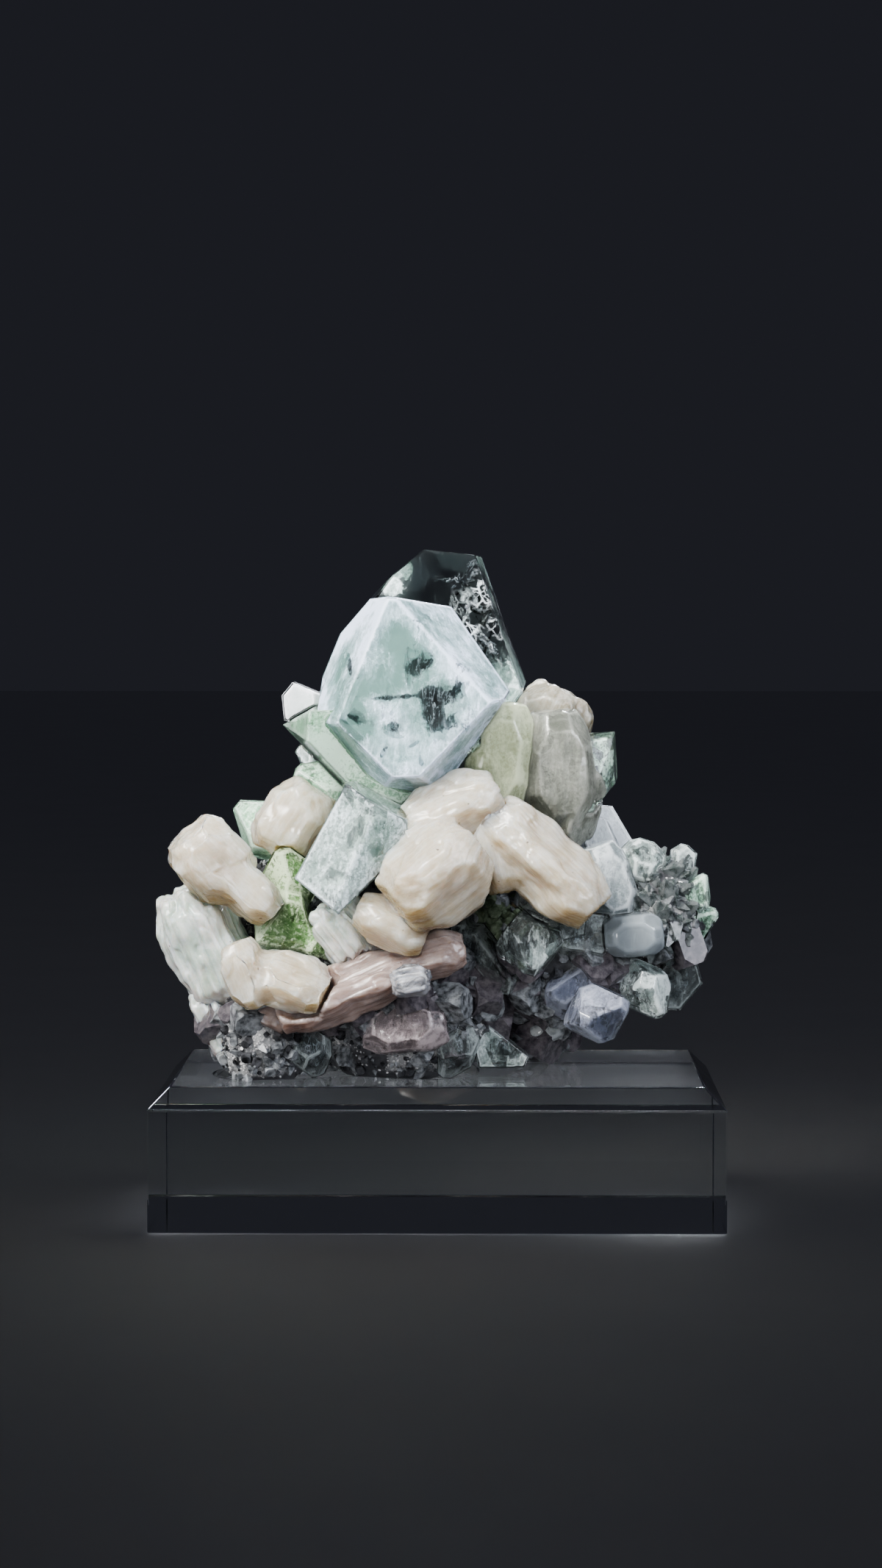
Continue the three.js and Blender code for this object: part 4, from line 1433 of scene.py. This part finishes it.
@dataclass(frozen=True)
class Crust:
    """One generation of small crystals grown on the rock."""

    name: str
    habit: Seed
    finish: str
    slot: str
    mask: str
    per_cm2: float
    small_mm: float
    large_mm: float
    lean: float = 0.7
    skew: float = 2.2
    seed: int = 1

    def build(
        self, host: bpy.types.Object, seeds: dict[Seed, bpy.types.Object], material: bpy.types.Material
    ) -> None:
        """Grows the crystals on the rock and joins them in one piece.

        Args:
            host: the rock.
            seeds: one small crystal of each habit.
            material: the finish of this generation.
        """
        tree = bpy.data.node_groups.new(self.name, "GeometryNodeTree")
        for way in ("INPUT", "OUTPUT"):
            tree.interface.new_socket("Geometry", in_out=way, socket_type="NodeSocketGeometry")
        add = partial(add_node, tree)
        mask = add("GeometryNodeInputNamedAttribute", {"Name": self.mask}, data_type="FLOAT")
        spread = {"Mesh": add("NodeGroupInput"), "Seed": self.seed}
        spread["Density"] = add(MATH, {0: mask, 1: self.per_cm2 * PER_CM2}, **TIMES)
        spots = add("GeometryNodeDistributePointsOnFaces", spread, distribute_method="RANDOM")
        turns = {"Min": (-self.lean, -self.lean, 0.0), "Max": (self.lean, self.lean, math.tau)}
        turns["Seed"] = self.seed + 1
        turn = add("FunctionNodeRandomValue", turns, data_type="FLOAT_VECTOR")
        turn = {0: spots.outputs["Rotation"], 1: add("FunctionNodeEulerToRotation", {0: turn})}
        roll = add("FunctionNodeRandomValue", {"Seed": self.seed + 2}, data_type="FLOAT")
        few_large = add(MATH, {0: roll, 1: self.skew}, operation="POWER")
        grown = {
            "Points": spots.outputs["Points"],
            "Instance": add("GeometryNodeObjectInfo", {"Object": seeds[self.habit]}).outputs["Geometry"],
            "Rotation": add("FunctionNodeRotateRotation", turn, rotation_space="LOCAL"),
            "Scale": add(RANGE, {0: few_large, 3: self.small_mm * MM, 4: self.large_mm * MM}),
        }
        joined = add("GeometryNodeRealizeInstances", {0: add("GeometryNodeInstanceOnPoints", grown)})
        add("NodeGroupOutput", {0: joined})
        piece = bpy.data.objects.new(self.name, host.data.copy())
        bpy.context.scene.collection.objects.link(piece)
        growth = piece.modifiers.new("growth", "NODES")
        growth.node_group = tree
        apply_modifiers(piece)
        hand_over(piece, material, self.slot, smooth=False)


@dataclass(frozen=True)
class BasaltMatrix:
    """The broken basalt and the crust on it."""

    node: str = "basalt_matrix"
    voxel_mm: float = 0.75
    crusts: tuple[Crust, ...] = ()
    # Relief of the broken surface.
    proud_mm: float = 0.1
    swell_mm: float = 0.9
    swell_size_mm: float = 6.0
    pit_mm: float = 0.5
    pit_size_mm: float = 2.2
    # Heights in millimetres: the sawn foot stays whole, and nothing grows on it or on its edge.
    sawn_to: float = 29.0
    bare_to: float = 30.4
    gravel_from: float = 33.5
    gravel_to: float = 60.0
    # Where each generation grows or stays away: the middle and the reach, in millimetres.
    bare_spot: tuple[Triple, float] = ((-9.5, -27.0, 44.6), 7.0)
    glitter_spot: tuple[Triple, float] = ((51.0, -6.0, 68.0), 13.0)
    glitter_edge: float = 55.0
    moss_spot: tuple[Triple, float] = ((16.0, -12.0, 66.0), 13.0)
    snow_spots: tuple[tuple[Triple, float], ...] = (
        ((-38.0, -22.0, 35.0), 11.0),
        ((-27.0, -18.0, 33.0), 8.0),
        ((-8.0, -20.0, 34.0), 8.0),
        ((8.0, -12.0, 34.0), 9.0),
        ((47.0, -8.0, 66.0), 9.0),
        ((24.0, -9.0, 36.0), 6.0),
    )

    def build(self, materials: dict[str, bpy.types.Material]) -> None:
        """Breaks the rock's surface and grows the crust.

        Args:
            materials: built finishes by name.
        """
        piece = new_object(self.node + "_broken", cad_bmesh(self.node))
        remesh(piece, self.voxel_mm, 4)
        points = co_of(piece.data)
        push = self.proud_mm + self.swell_mm * rough(points, self.swell_size_mm, 41, 4)
        push += self.pit_mm * np.abs(rough(points, self.pit_size_mm, 47, 2))
        push_out(piece.data, points, push * rise(points[:, 2] / MM, self.sawn_to, 2.0))
        self.store_masks(piece.data)
        hand_over(piece, materials["basalt"], "basalt", self.node)
        seeds = {habit: habit.template() for habit in Seed}
        for crust in self.crusts:
            crust.build(piece, seeds, materials[crust.finish])
        for seed in seeds.values():
            bpy.data.objects.remove(seed)

    def store_masks(self, mesh: bpy.types.Mesh) -> None:
        """Stores how densely each generation grows over the rock.

        Args:
            mesh: the broken rock.
        """
        points = co_of(mesh)
        height = points[:, 2] / MM
        snow = np.zeros(len(points))
        for spot, reach in self.snow_spots:
            snow = np.maximum(snow, np.exp(-(near(points, spot, reach) ** 2)))
        patchy = np.clip(0.5 + 1.1 * rough(points, 7.0, 71, 3), 0, 1)
        above = rise(height, self.bare_to, 1.2)
        store(mesh, "snow", np.clip(snow * 1.7 * patchy, 0, 1) * above)
        store(mesh, "crystals", np.clip(patchy * 0.7 + 0.25, 0, 1) * above)
        gravel = np.clip(1 - 1.3 * snow, 0, 1) * (1 - np.exp(-(near(points, *self.bare_spot) ** 4)))
        gravel *= rise(height, self.gravel_from, 2)
        store(mesh, "low", np.clip(patchy, 0.2, 1) * gravel * np.clip((self.gravel_to - height) / 8, 0, 1))
        inner = np.clip((self.glitter_edge - points[:, 0] / MM) / 3, 0, 1)
        glitter = 1.4 * np.exp(-(near(points, *self.glitter_spot) ** 2)) - 0.2
        store(mesh, "right", np.clip(glitter, 0, 1) * inner)
        moss = 1.4 * np.exp(-(near(points, *self.moss_spot) ** 2)) - 0.25
        store(mesh, "moss", np.clip(moss, 0, 1))


FINISHES = (
    # Apophyllite grown in a cavity: sharp reflections, and a tint that deepens with thickness.
    Glass("milky_apophyllite", "#DAEAE6", 60.0),
    Glass("clear_apophyllite", "#CFE3DB", 60.0),
    Glass("mint_apophyllite", "#C0DFC9", 26.0),
    Glass("green_apophyllite", "#B4CFA6", 14.0),
    Glass("grey_apophyllite", "#B9C6C4", 30.0),
    # Dark glassy blades, taken as smoky crystal: the light is lost a centimetre in.
    Glass("smoky_crystal", "#8E958F", 16.0, ior=1.5),
    # Cast acrylic, flame-polished: almost colourless, with edges that catch the light.
    Glass("clear_acrylic", "#DCE8EC", 300.0, roughness=0.008, relief_mm=0.003, ior=1.49),
    # Fluid inclusions sealed in apophyllite: a thin frost outside, thicker milk within, torn at the windows.
    Cloud("main_frost", "#DCE6F5", "#98BBB3", 0.95, 0.25, shard_mm=4.0, grit=0.1),
    Cloud("main_milk", "#B7CAD3", "#739890", 0.97, 0.6, shard_mm=4.0, grit=0.1),
    Cloud("centre_frost", "#D0DADD", "#7F9A8F", 0.85, 0.18, shard_mm=5.0, feather_mm=1.3, grit=0.4),
    Cloud("centre_milk", "#ABBDB7", "#667F75", 0.97, 0.5, shard_mm=5.0, feather_mm=1.3, grit=0.4),
    Cloud("rear_frost", "#E4EEEE", "#A9C8BC", 0.9, 0.25),
    Cloud("mint_frost", "#DCEFE1", "#9CCBA8", 0.75, 0.25, shard_mm=1.6, grit=0.6),
    Cloud("mint_milk", "#BFE2C8", "#85B993", 0.97, 0.9, shard_mm=1.6, grit=0.6),
    Cloud("green_frost", "#D5E2C6", "#82A86E", 0.8, 0.25, shard_mm=1.8, grit=0.9),
    Cloud("green_milk", "#A9C794", "#62904F", 0.95, 0.9, shard_mm=2.2, grit=0.9),
    Cloud("grey_frost", "#D9E1DF", "#93A39D", 0.85, 0.3),
    Cloud("grey_milk", "#AAB8B4", "#5E6D69", 0.9, 0.6),
    Cloud("blue_frost", "#A9AEBB", "#6F7689", 0.72, 0.5),
    Cloud("blue_milk", "#8D919F", "#596072", 0.95, 0.8),
    Cloud("smoky_frost", "#A9B1AF", "#5E6766", 0.65, 0.3),
    Cloud("spur_frost", "#F6F6FA", "#E4EAEB", 0.98, 0.9),
    Cloud("spur_milk", "#E3E8EC", "#B9C8C5", 0.97, 0.8),
    # Dark middles of painted shade, standing for the depth of clear crystal, and healed fractures, seen
    # through the windows.
    PaintedShadeHeart(),
    PaintedShadeHeart("mint_window", "#6F877E", "#B4C8C0"),
    Veil(),
    # Chalcedony set from a gel, and other pale crystals: a duller skin over a cloudy body.
    Glass("olive_chalcedony", "#E2E6CE", 24.0, roughness=0.1),
    Glass("grey_chalcedony", "#C9CCC0", 16.0, roughness=0.1),
    Glass("pink_chalcedony", "#CDBDC0", 12.0, roughness=0.15),
    Glass("pale_crystal", "#DDE4E2", 24.0, roughness=0.06),
    Cloud("olive_bloom", "#DFE4C8", "#BCC4A0", 0.75, 0.5),
    Cloud("olive_heart", "#CFD5B2", "#ADB48D", 0.98, 0.9),
    Cloud("grey_bloom", "#A6A79E", "#8A8D82", 0.75, 0.4),
    Cloud("grey_heart", "#8E9086", "#65695E", 0.98, 0.85),
    Cloud("pink_bloom", "#B7ACAC", "#7D7273", 0.85, 0.4),
    Cloud("pink_heart", "#928786", "#5F5657", 0.98, 0.9),
    Cloud("waxy_bloom", "#9AA2A6", "#82898C", 0.95, 0.95, feather_mm=2.5, streak_mm=5.0, grit=0.0),
    Cloud("pale_bloom", "#CBD0D1", "#97A2A4", 0.85, 0.4),
    Cloud("pale_heart", "#B9C2C2", "#869191", 0.98, 0.85),
    # Broken basalt and the small crystals grown on it, glossy where they are glassy.
    Rock(),
    Grain("white_grains", "#E8E7E6", "#B6B4B4", 0.1, 0.3),
    Grain("grey_grains", "#C2C6C8", "#5A5D60", 0.35, 0.1),
    Grain("clear_grains", "#E8EEEE", "#8D9A97", 0.75, 0.04),
    Grain("green_grains", "#B5C4A8", "#6A7A60", 0.5, 0.1),
    Grain("dark_grains", "#5C5D60", "#1D1D1F", 0.0, 0.1),
    Grain("mauve_grains", "#A9A2A6", "#67626A", 0.5, 0.12),
    # Stilbite grown as stacked plates: waxy where light goes deep, pearly where the plates lie bare. The
    # third colour also paints shade on the undersides.
    Stilbite("cream_stilbite", "#E3DDD0", "#D6CCBA", "#B39E76", scatter_mm=9.0),
    Stilbite("peach_stilbite", "#B9A8A1", "#A2918A", "#82695E", scatter_mm=5.0, fray=0.12),
    # Cream stilbite darkened with painted shade, for a piece that lies in shadow.
    Stilbite("shaded_stilbite", "#B5B3A8", "#A39D8C", "#877C64", scatter_mm=7.0),
    Stilbite("pearly_stilbite", "#E2E6E2", "#C2D0C5", "#D5C9C4", 0.24, 0.6, 2.5, 0.5),
    Stilbite("silver_stilbite", "#C2C4C8", "#606368", "#8F8E91", 0.18, 0.7, 0.5, 0.3),
)
# Sheaves on the back, left coarser.
BACK: dict[str, Any] = {"voxel_mm": 0.4, "ease": 8, "fill": 60}
# Each lobe: its middle, growth direction, plate facing, and length, width and thickness in millimetres.
SHEAVES = (
    Sheaf(
        "stilbite_centre", "cream_stilbite",
        (
            Lobe((-0.4, -29.5, 74.2), (-0.75, -0.15, -0.6), (0.1, -0.4, 0.9), (20.5, 18, 17.4)),
            Lobe((2.6, -22, 86.6), (0.92, 0.1, 0.4), (-0.1, -0.5, 0.85), (21.4, 14, 11.6)),
            Lobe((-9.6, -25.5, 63.4), (0.85, 0, -0.4), (0, -0.6, 0.8), (15.4, 10, 8.2)),
        ),
        seed=11,
    ),
    Sheaf(
        "stilbite_right", "cream_stilbite",
        (
            Lobe((22, -23.5, 76.2), (0.72, -0.1, -0.69), (0.4, -0.6, 0.65), (29.6, 14.2, 12.6)),
            Lobe((12, -22, 79.5), (0.25, 0, -0.97), (0, -1, 0.2), (19, 10, 12)),
        ),
        ridge_mm=0.22, ridge_size_mm=1.2, ridge_pull=0.05, seed=12,
    ),
    Sheaf(
        "stilbite_left", "cream_stilbite",
        (
            Lobe((-47.6, -17, 76.1), (-0.6, -0.2, 0.7), (0.2, -0.95, 0.1), (18, 16.4, 15)),
            Lobe((-40.6, -18, 69.8), (0.72, 0, -0.65), (0.1, -0.9, 0.3), (17.5, 10.6, 12)),
        ),
        proud_mm=-1.0, seed=13,
    ),
    Sheaf(
        "stilbite_upper_left", "cream_stilbite",
        (Lobe((-31, -4, 83.4), (0.55, 0, 0.83), (-0.2, -0.9, 0.2), (16.8, 13.4, 14)),), seed=14,
    ),
    Sheaf(
        "stilbite_lower_left", "cream_stilbite",
        (
            Lobe((-39.6, -27, 53), (0.35, 0, -0.93), (-0.3, -0.9, 0.1), (15.5, 9.5, 13)),
            Lobe((-30.4, -27, 51.4), (0.9, -0.1, -0.35), (0.1, -0.6, 0.8), (16.5, 14, 10.5)),
        ),
        proud_mm=-1.1, seed=15,
    ),
    Sheaf(
        "stilbite_long", "peach_stilbite",
        (
            Lobe((-18.6, -24, 49.6), (0.92, 0.05, 0.38), (0, -0.6, 0.8), (31, 11, 8.4)),
            Lobe((-1.8, -22.5, 56.4), (0.97, 0, 0.2), (0, -0.6, 0.8), (15.5, 10, 7.6)),
        ),
        ridge_mm=0.22, ridge_size_mm=1.4, ridge_pull=0.04, ease=8, seed=16,
    ),
    # Cream stilbite darkened with painted shade.
    Sheaf(
        "stilbite_top_right", "shaded_stilbite",
        (Lobe((24, 10, 103.6), (0.45, 0, 0.9), (-0.2, -0.95, 0.1), (16, 15.6, 12)),),
        slot="cream_stilbite", seed=17,
    ),
    Sheaf(
        "stilbite_left_low", "pearly_stilbite",
        (Lobe((-49.2, -10, 57.4), (0.4, 0.05, -0.92), (-0.3, -0.95, 0), (25.5, 15, 16)),), ridge_mm=1.0,
        ridge_size_mm=3.0, ridge_pull=0.04, ease=8, seed=18,
    ),
    Sheaf(
        "stilbite_left_edge", "pearly_stilbite",
        (Lobe((-46.4, -12, 41.4), (0.5, 0, -0.86), (-0.5, -0.85, 0), (16, 6.6, 9)),), ridge_mm=0.9,
        ridge_pull=0.05, seed=19,
    ),
    Sheaf(
        "stilbite_peach_small", "peach_stilbite",
        (Lobe((-34.8, -23, 44), (0.95, 0, -0.25), (0, -0.8, 0.6), (8.4, 7, 5.6)),), seed=20,
    ),
    Sheaf(
        "stilbite_silver_fan", "pearly_stilbite",
        (Lobe((-17.8, -16.5, 60.4), (0.6, -0.1, -0.78), (0.5, -0.6, 0.6), (16.5, 13, 10)),), ridge_mm=1.0,
        ridge_pull=0.05, seed=21,
    ),
    Sheaf(
        "stilbite_silver_small", "silver_stilbite",
        (Lobe((-5.6, -29, 51.8), (1, 0, 0.12), (0, -0.8, 0.6), (8, 6.4, 5)),), ridge_mm=0.7,
        ridge_size_mm=1.2, ridge_pull=0.05, slot="pearly_stilbite", seed=22,
    ),
    Sheaf(
        "stilbite_back_side", "cream_stilbite",
        (Lobe((-44, 6, 68), (-0.5, 0.2, 0.85), (-0.6, 0.75, 0), (19, 12, 10)),), **BACK, seed=23,
    ),
    Sheaf(
        "stilbite_back_foot", "cream_stilbite",
        (Lobe((8, 14, 44), (0.9, 0.1, 0.35), (0.1, 0.9, -0.3), (20, 11, 10)),), **BACK, seed=24,
    ),
    Sheaf(
        "stilbite_back_left", "cream_stilbite",
        (Lobe((-22, 22, 74), (-0.7, 0.3, 0.6), (0.2, 0.9, 0.3), (24, 15, 13)),), **BACK, seed=25,
    ),
    Sheaf(
        "stilbite_back_right", "cream_stilbite",
        (Lobe((15, 25, 69), (0.8, 0.1, -0.55), (0.2, 0.9, 0.4), (25, 14, 12)),), **BACK, seed=26,
    ),
    Sheaf(
        "stilbite_back_low", "peach_stilbite",
        (Lobe((-22, 17, 47), (0.9, 0.2, -0.3), (0, 0.8, 0.5), (20, 12, 10)),), **BACK, seed=27,
    ),
)
# Growth zones, from the outside in, with their size against the crystal's. The innermost dark zone of GREY,
# BLUE, SMOKY and MINT_CLEAR is a body of painted shade, standing for the depth of a clear middle.
SNOWY = (Zone("spur_frost"), Zone("spur_milk", 0.88))
MILKY = (Zone("centre_frost"), Zone("centre_milk", 0.88))
MINT = (Zone("mint_frost"), Zone("mint_milk", 0.88))
MINT_CLEAR = (Zone("mint_frost"), Zone("clear_heart", 0.62))
GREEN = (Zone("green_frost"), Zone("green_milk", 0.86))
GREY = (Zone("grey_frost"), Zone("grey_milk", 0.82), Zone("clear_heart", 0.5))
BLUE = (Zone("blue_frost"), Zone("blue_milk", 0.82), Zone("clear_heart", 0.5))
SMOKY = (Zone("smoky_frost"), Zone("clear_heart", 0.6))
OLIVE = (Zone("olive_bloom"), Zone("olive_heart", 0.9))
ROUNDED_GREY = (Zone("grey_bloom"), Zone("grey_heart", 0.88))
PINK = (Zone("pink_bloom"), Zone("pink_heart", 0.88))
PALE = (Zone("pale_bloom"), Zone("pale_heart", 0.85))
WAXY = (Zone("waxy_bloom"), Zone("pale_heart", 0.85))
# Mostly clear, with a few healed fractures.
GLASSY: dict[str, Any] = {"clear": 0.25, "veils": 3}
CRYSTALS = (
    # Its innermost zone is a dark body of painted shade, standing for the clear depth seen through the
    # windows.
    Crystal(
        "apophyllite_main", "milky_apophyllite",
        (Zone("main_frost"), Zone("main_milk", 0.9), Zone("clear_heart", 0.7)), 0.0,
        (
            Patch(-2.8, 117.8, 3.4, 1.8, 20.0, 1.1), Patch(-1.0, 111.5, 3.0, 2.6, 0.0, 1.2),
            Patch(-0.4, 106.4, 2.4, 3.6, 10.0, 1.2), Patch(3.4, 111.6, 3.8, 1.1, 38.0, 1.1),
            Patch(-8.5, 110.8, 5.0, 0.5, 4.0, 0.9), Patch(-18.0, 106.2, 2.6, 1.2, -20.0),
            Patch(-18.6, 117.0, 0.6, 2.4, 8.0), Patch(-8.7, 104.4, 2.6, 1.4, 0.0, 0.6),
            Patch(-9.0, 97.0, 9.0, 5.0, -20.0, -0.6), Patch(-5.0, 101.0, 1.4, 0.5, 30.0, 1.5),
            Patch(-11.0, 99.5, 0.7, 1.6, -30.0, 1.4), Patch(-8.5, 102.8, 1.8, 0.4, -15.0, 1.4),
            Patch(-3.5, 97.8, 0.6, 1.5, 20.0, 1.4),
        ),
        (
            Patch(-7.0, 98.0, 12.0, 6.0, 0.0, 0.2), Patch(-9.0, 120.0, 5.0, 8.0, -15.0, -0.5),
            Patch(3.0, 120.0, 4.0, 9.0, 40.0, 0.5), Patch(-12.0, 108.0, 5.0, 3.0, -20.0, 0.5),
            Patch(-19.0, 110.0, 4.5, 12.0, 12.0, -1.1),
        ),
        border_mm=3.4,
    ),
    Crystal(
        "apophyllite_rear", "clear_apophyllite", (Zone("rear_frost"),), -0.05,
        (Patch(-10.0, 134.0, 3.5, 3.0, 30.0, -1.6),), clear_above=111.5, fade_mm=7.0, veils=13,
        veil_mm=10.0, veil_box=((1.0, -6.0, 113.0), (13.0, 24.0, 137.0)),
    ),
    Crystal(
        "apophyllite_skirt", "mint_apophyllite", MINT, -0.3,
        frosts=(Patch(-23.0, 98.0, 7.0, 6.0, 0.0, 1.2),),
    ),
    Crystal("apophyllite_left_spur", "milky_apophyllite", SNOWY, -0.3),
    Crystal("apophyllite_left_chip", "milky_apophyllite", MILKY),
    Crystal("apophyllite_under_left", "mint_apophyllite", MINT),
    Crystal("apophyllite_left_back", "mint_apophyllite", MINT),
    # Its innermost zone is a grey-green body of painted shade, standing for the depth seen through the
    # windows.
    Crystal(
        "apophyllite_centre", "milky_apophyllite",
        (Zone("centre_frost"), Zone("centre_milk", 0.86), Zone("mint_window", 0.62)), 0.3,
        (
            Patch(-17.0, 82.5, 1.6, 4.5, -25.0, 0.8), Patch(-12.0, 79.0, 2.0, 2.0, 0.0, 0.6),
            Patch(-21.0, 74.0, 3.0, 1.4, 20.0, 0.5),
        ),
        border_mm=1.2,
    ),
    Crystal(
        "apophyllite_green", "green_apophyllite", GREEN,
        frosts=(Patch(-37.0, 66.5, 3.4, 1.6, 25.0, 1.0), Patch(-27.0, 63.0, 0.8, 1.2, 0.0, 0.8)),
    ),
    Crystal("apophyllite_right_green", "mint_apophyllite", MINT_CLEAR, 0.6, veils=3),
    Crystal("apophyllite_clear_low", "clear_apophyllite", GREY, 0.6, veils=3),
    Crystal("apophyllite_grey_block", "grey_apophyllite", GREY, **GLASSY),
    Crystal("apophyllite_far_right", "mint_apophyllite", MINT_CLEAR, 0.3, veils=3),
    Crystal("apophyllite_drop", "clear_apophyllite", GREY, **GLASSY),
    Crystal("apophyllite_blue_low", "grey_apophyllite", BLUE, **GLASSY),
    Crystal("apophyllite_lavender", "grey_apophyllite", BLUE, **GLASSY),
    Crystal(
        "crystal_rounded_block", "grey_apophyllite", WAXY, -0.6, border_mm=0.0, rounding=6, swell_mm=0.4,
        flute_mm=0.15, seed=39,
    ),
    Crystal("blade_far_right", "grey_apophyllite", GREY, **GLASSY),
    Crystal("blade_dark_right", "smoky_crystal", SMOKY, **GLASSY),
    Crystal("blade_grey_green", "smoky_crystal", SMOKY, **GLASSY),
    Crystal("blade_grey_behind", "smoky_crystal", SMOKY, **GLASSY),
    Crystal("blades_dark_pair", "smoky_crystal", SMOKY, **GLASSY),
    Crystal("blade_triangular", "grey_apophyllite", GREY, **GLASSY),
    Crystal("crystal_grey_foot", "smoky_crystal", SMOKY, **GLASSY),
    Crystal("crystal_glassy_foot", "smoky_crystal", SMOKY, **GLASSY),
    Crystal("apophyllite_back_tall", "mint_apophyllite", MINT),
    Crystal("apophyllite_back_right", "milky_apophyllite", MILKY),
    Crystal("apophyllite_back_low", "clear_apophyllite", GREY, **GLASSY),
    Crystal("apophyllite_back_left", "green_apophyllite", GREEN),
    Crystal("apophyllite_back_foot", "grey_apophyllite", GREY, **GLASSY),
    Crystal("apophyllite_back_middle", "milky_apophyllite", MILKY),
    Crystal("apophyllite_back_far_right", "grey_apophyllite", GREY, **GLASSY),
    Crystal("apophyllite_back_upper_right", "mint_apophyllite", MINT),
    Crystal("apophyllite_back_foot_left", "smoky_crystal", SMOKY, **GLASSY),
)

# Chalcedony and other crystals without sharp arrises of their own.
COLUMNS = (
    Crystal("column_olive", "olive_chalcedony", OLIVE, -0.2, rounding=24, border_mm=0.0, seed=31),
    Crystal(
        "column_grey", "grey_chalcedony", ROUNDED_GREY, -0.3, border_mm=0.0, rounding=16, swell_mm=0.9,
        flute_mm=0.5, slot="olive_chalcedony", seed=33,
    ),
    Crystal(
        "chalcedony_pink", "pink_chalcedony", PINK, border_mm=0.0, rounding=4, swell_mm=1.4, flute_mm=0.6,
        flute_axis=(1.0, 0.0, 0.1), slot="pearly_stilbite", seed=35,
    ),
    Crystal("pebble_grey", "pale_crystal", PALE, rounding=8, slot="pearly_stilbite", seed=36),
    Crystal("crystal_pale_wedge", "pale_crystal", PALE, slot="pearly_stilbite", seed=37),
    Crystal("blades_pale_right", "pale_crystal", PALE, slot="pearly_stilbite", seed=38),
)
# Each generation: habit, finish, slot, where it grows, how many to a square centimetre, and its smallest and
# largest size in millimetres.
CRUSTS = (
    Crust("crust_dark", Seed.BLOCK, "dark_grains", "smoky_crystal", "crystals", 28.0, 0.6, 2.4, seed=50),
    Crust("crust_grey", Seed.BLOCK, "grey_grains", "grey_apophyllite", "crystals", 18.0, 0.7, 3.0, seed=60),
    Crust(
        "crust_points", Seed.POINT, "grey_grains", "grey_apophyllite", "crystals", 12.0, 1.0, 3.6, seed=70,
    ),
    Crust("crust_blocks", Seed.BLOCK, "mauve_grains", "pearly_stilbite", "low", 8.0, 3.5, 9.0, seed=100),
    Crust(
        "crust_clear_blocks", Seed.BLOCK, "grey_grains", "grey_apophyllite", "low", 5.0, 3.5, 8.5,
        seed=110,
    ),
    Crust(
        "crust_glitter", Seed.POINT, "clear_grains", "clear_apophyllite", "right", 30.0, 2.0, 6.0,
        seed=120,
    ),
    Crust("crust_green", Seed.BLOCK, "green_grains", "mint_apophyllite", "moss", 60.0, 0.9, 3.4, seed=90),
    Crust("crust_snow", Seed.CRUMB, "white_grains", "pearly_stilbite", "snow", 420.0, 0.25, 0.9, seed=80),
)


def main() -> None:
    """Builds every piece in order."""
    logging.basicConfig(level=logging.INFO, format="%(name)s: %(message)s")
    materials = {finish.name: finish.build() for finish in FINISHES}
    Studio().build(AcrylicBlock().build(materials))
    BasaltMatrix(crusts=CRUSTS).build(materials)
    for piece in (*COLUMNS, *SHEAVES, *CRYSTALS):
        piece.build(materials)
    view = bpy.context.scene.view_settings
    view.view_transform = "AgX"
    view.look = "AgX - Medium High Contrast"


if __name__ == "__main__":
    main()
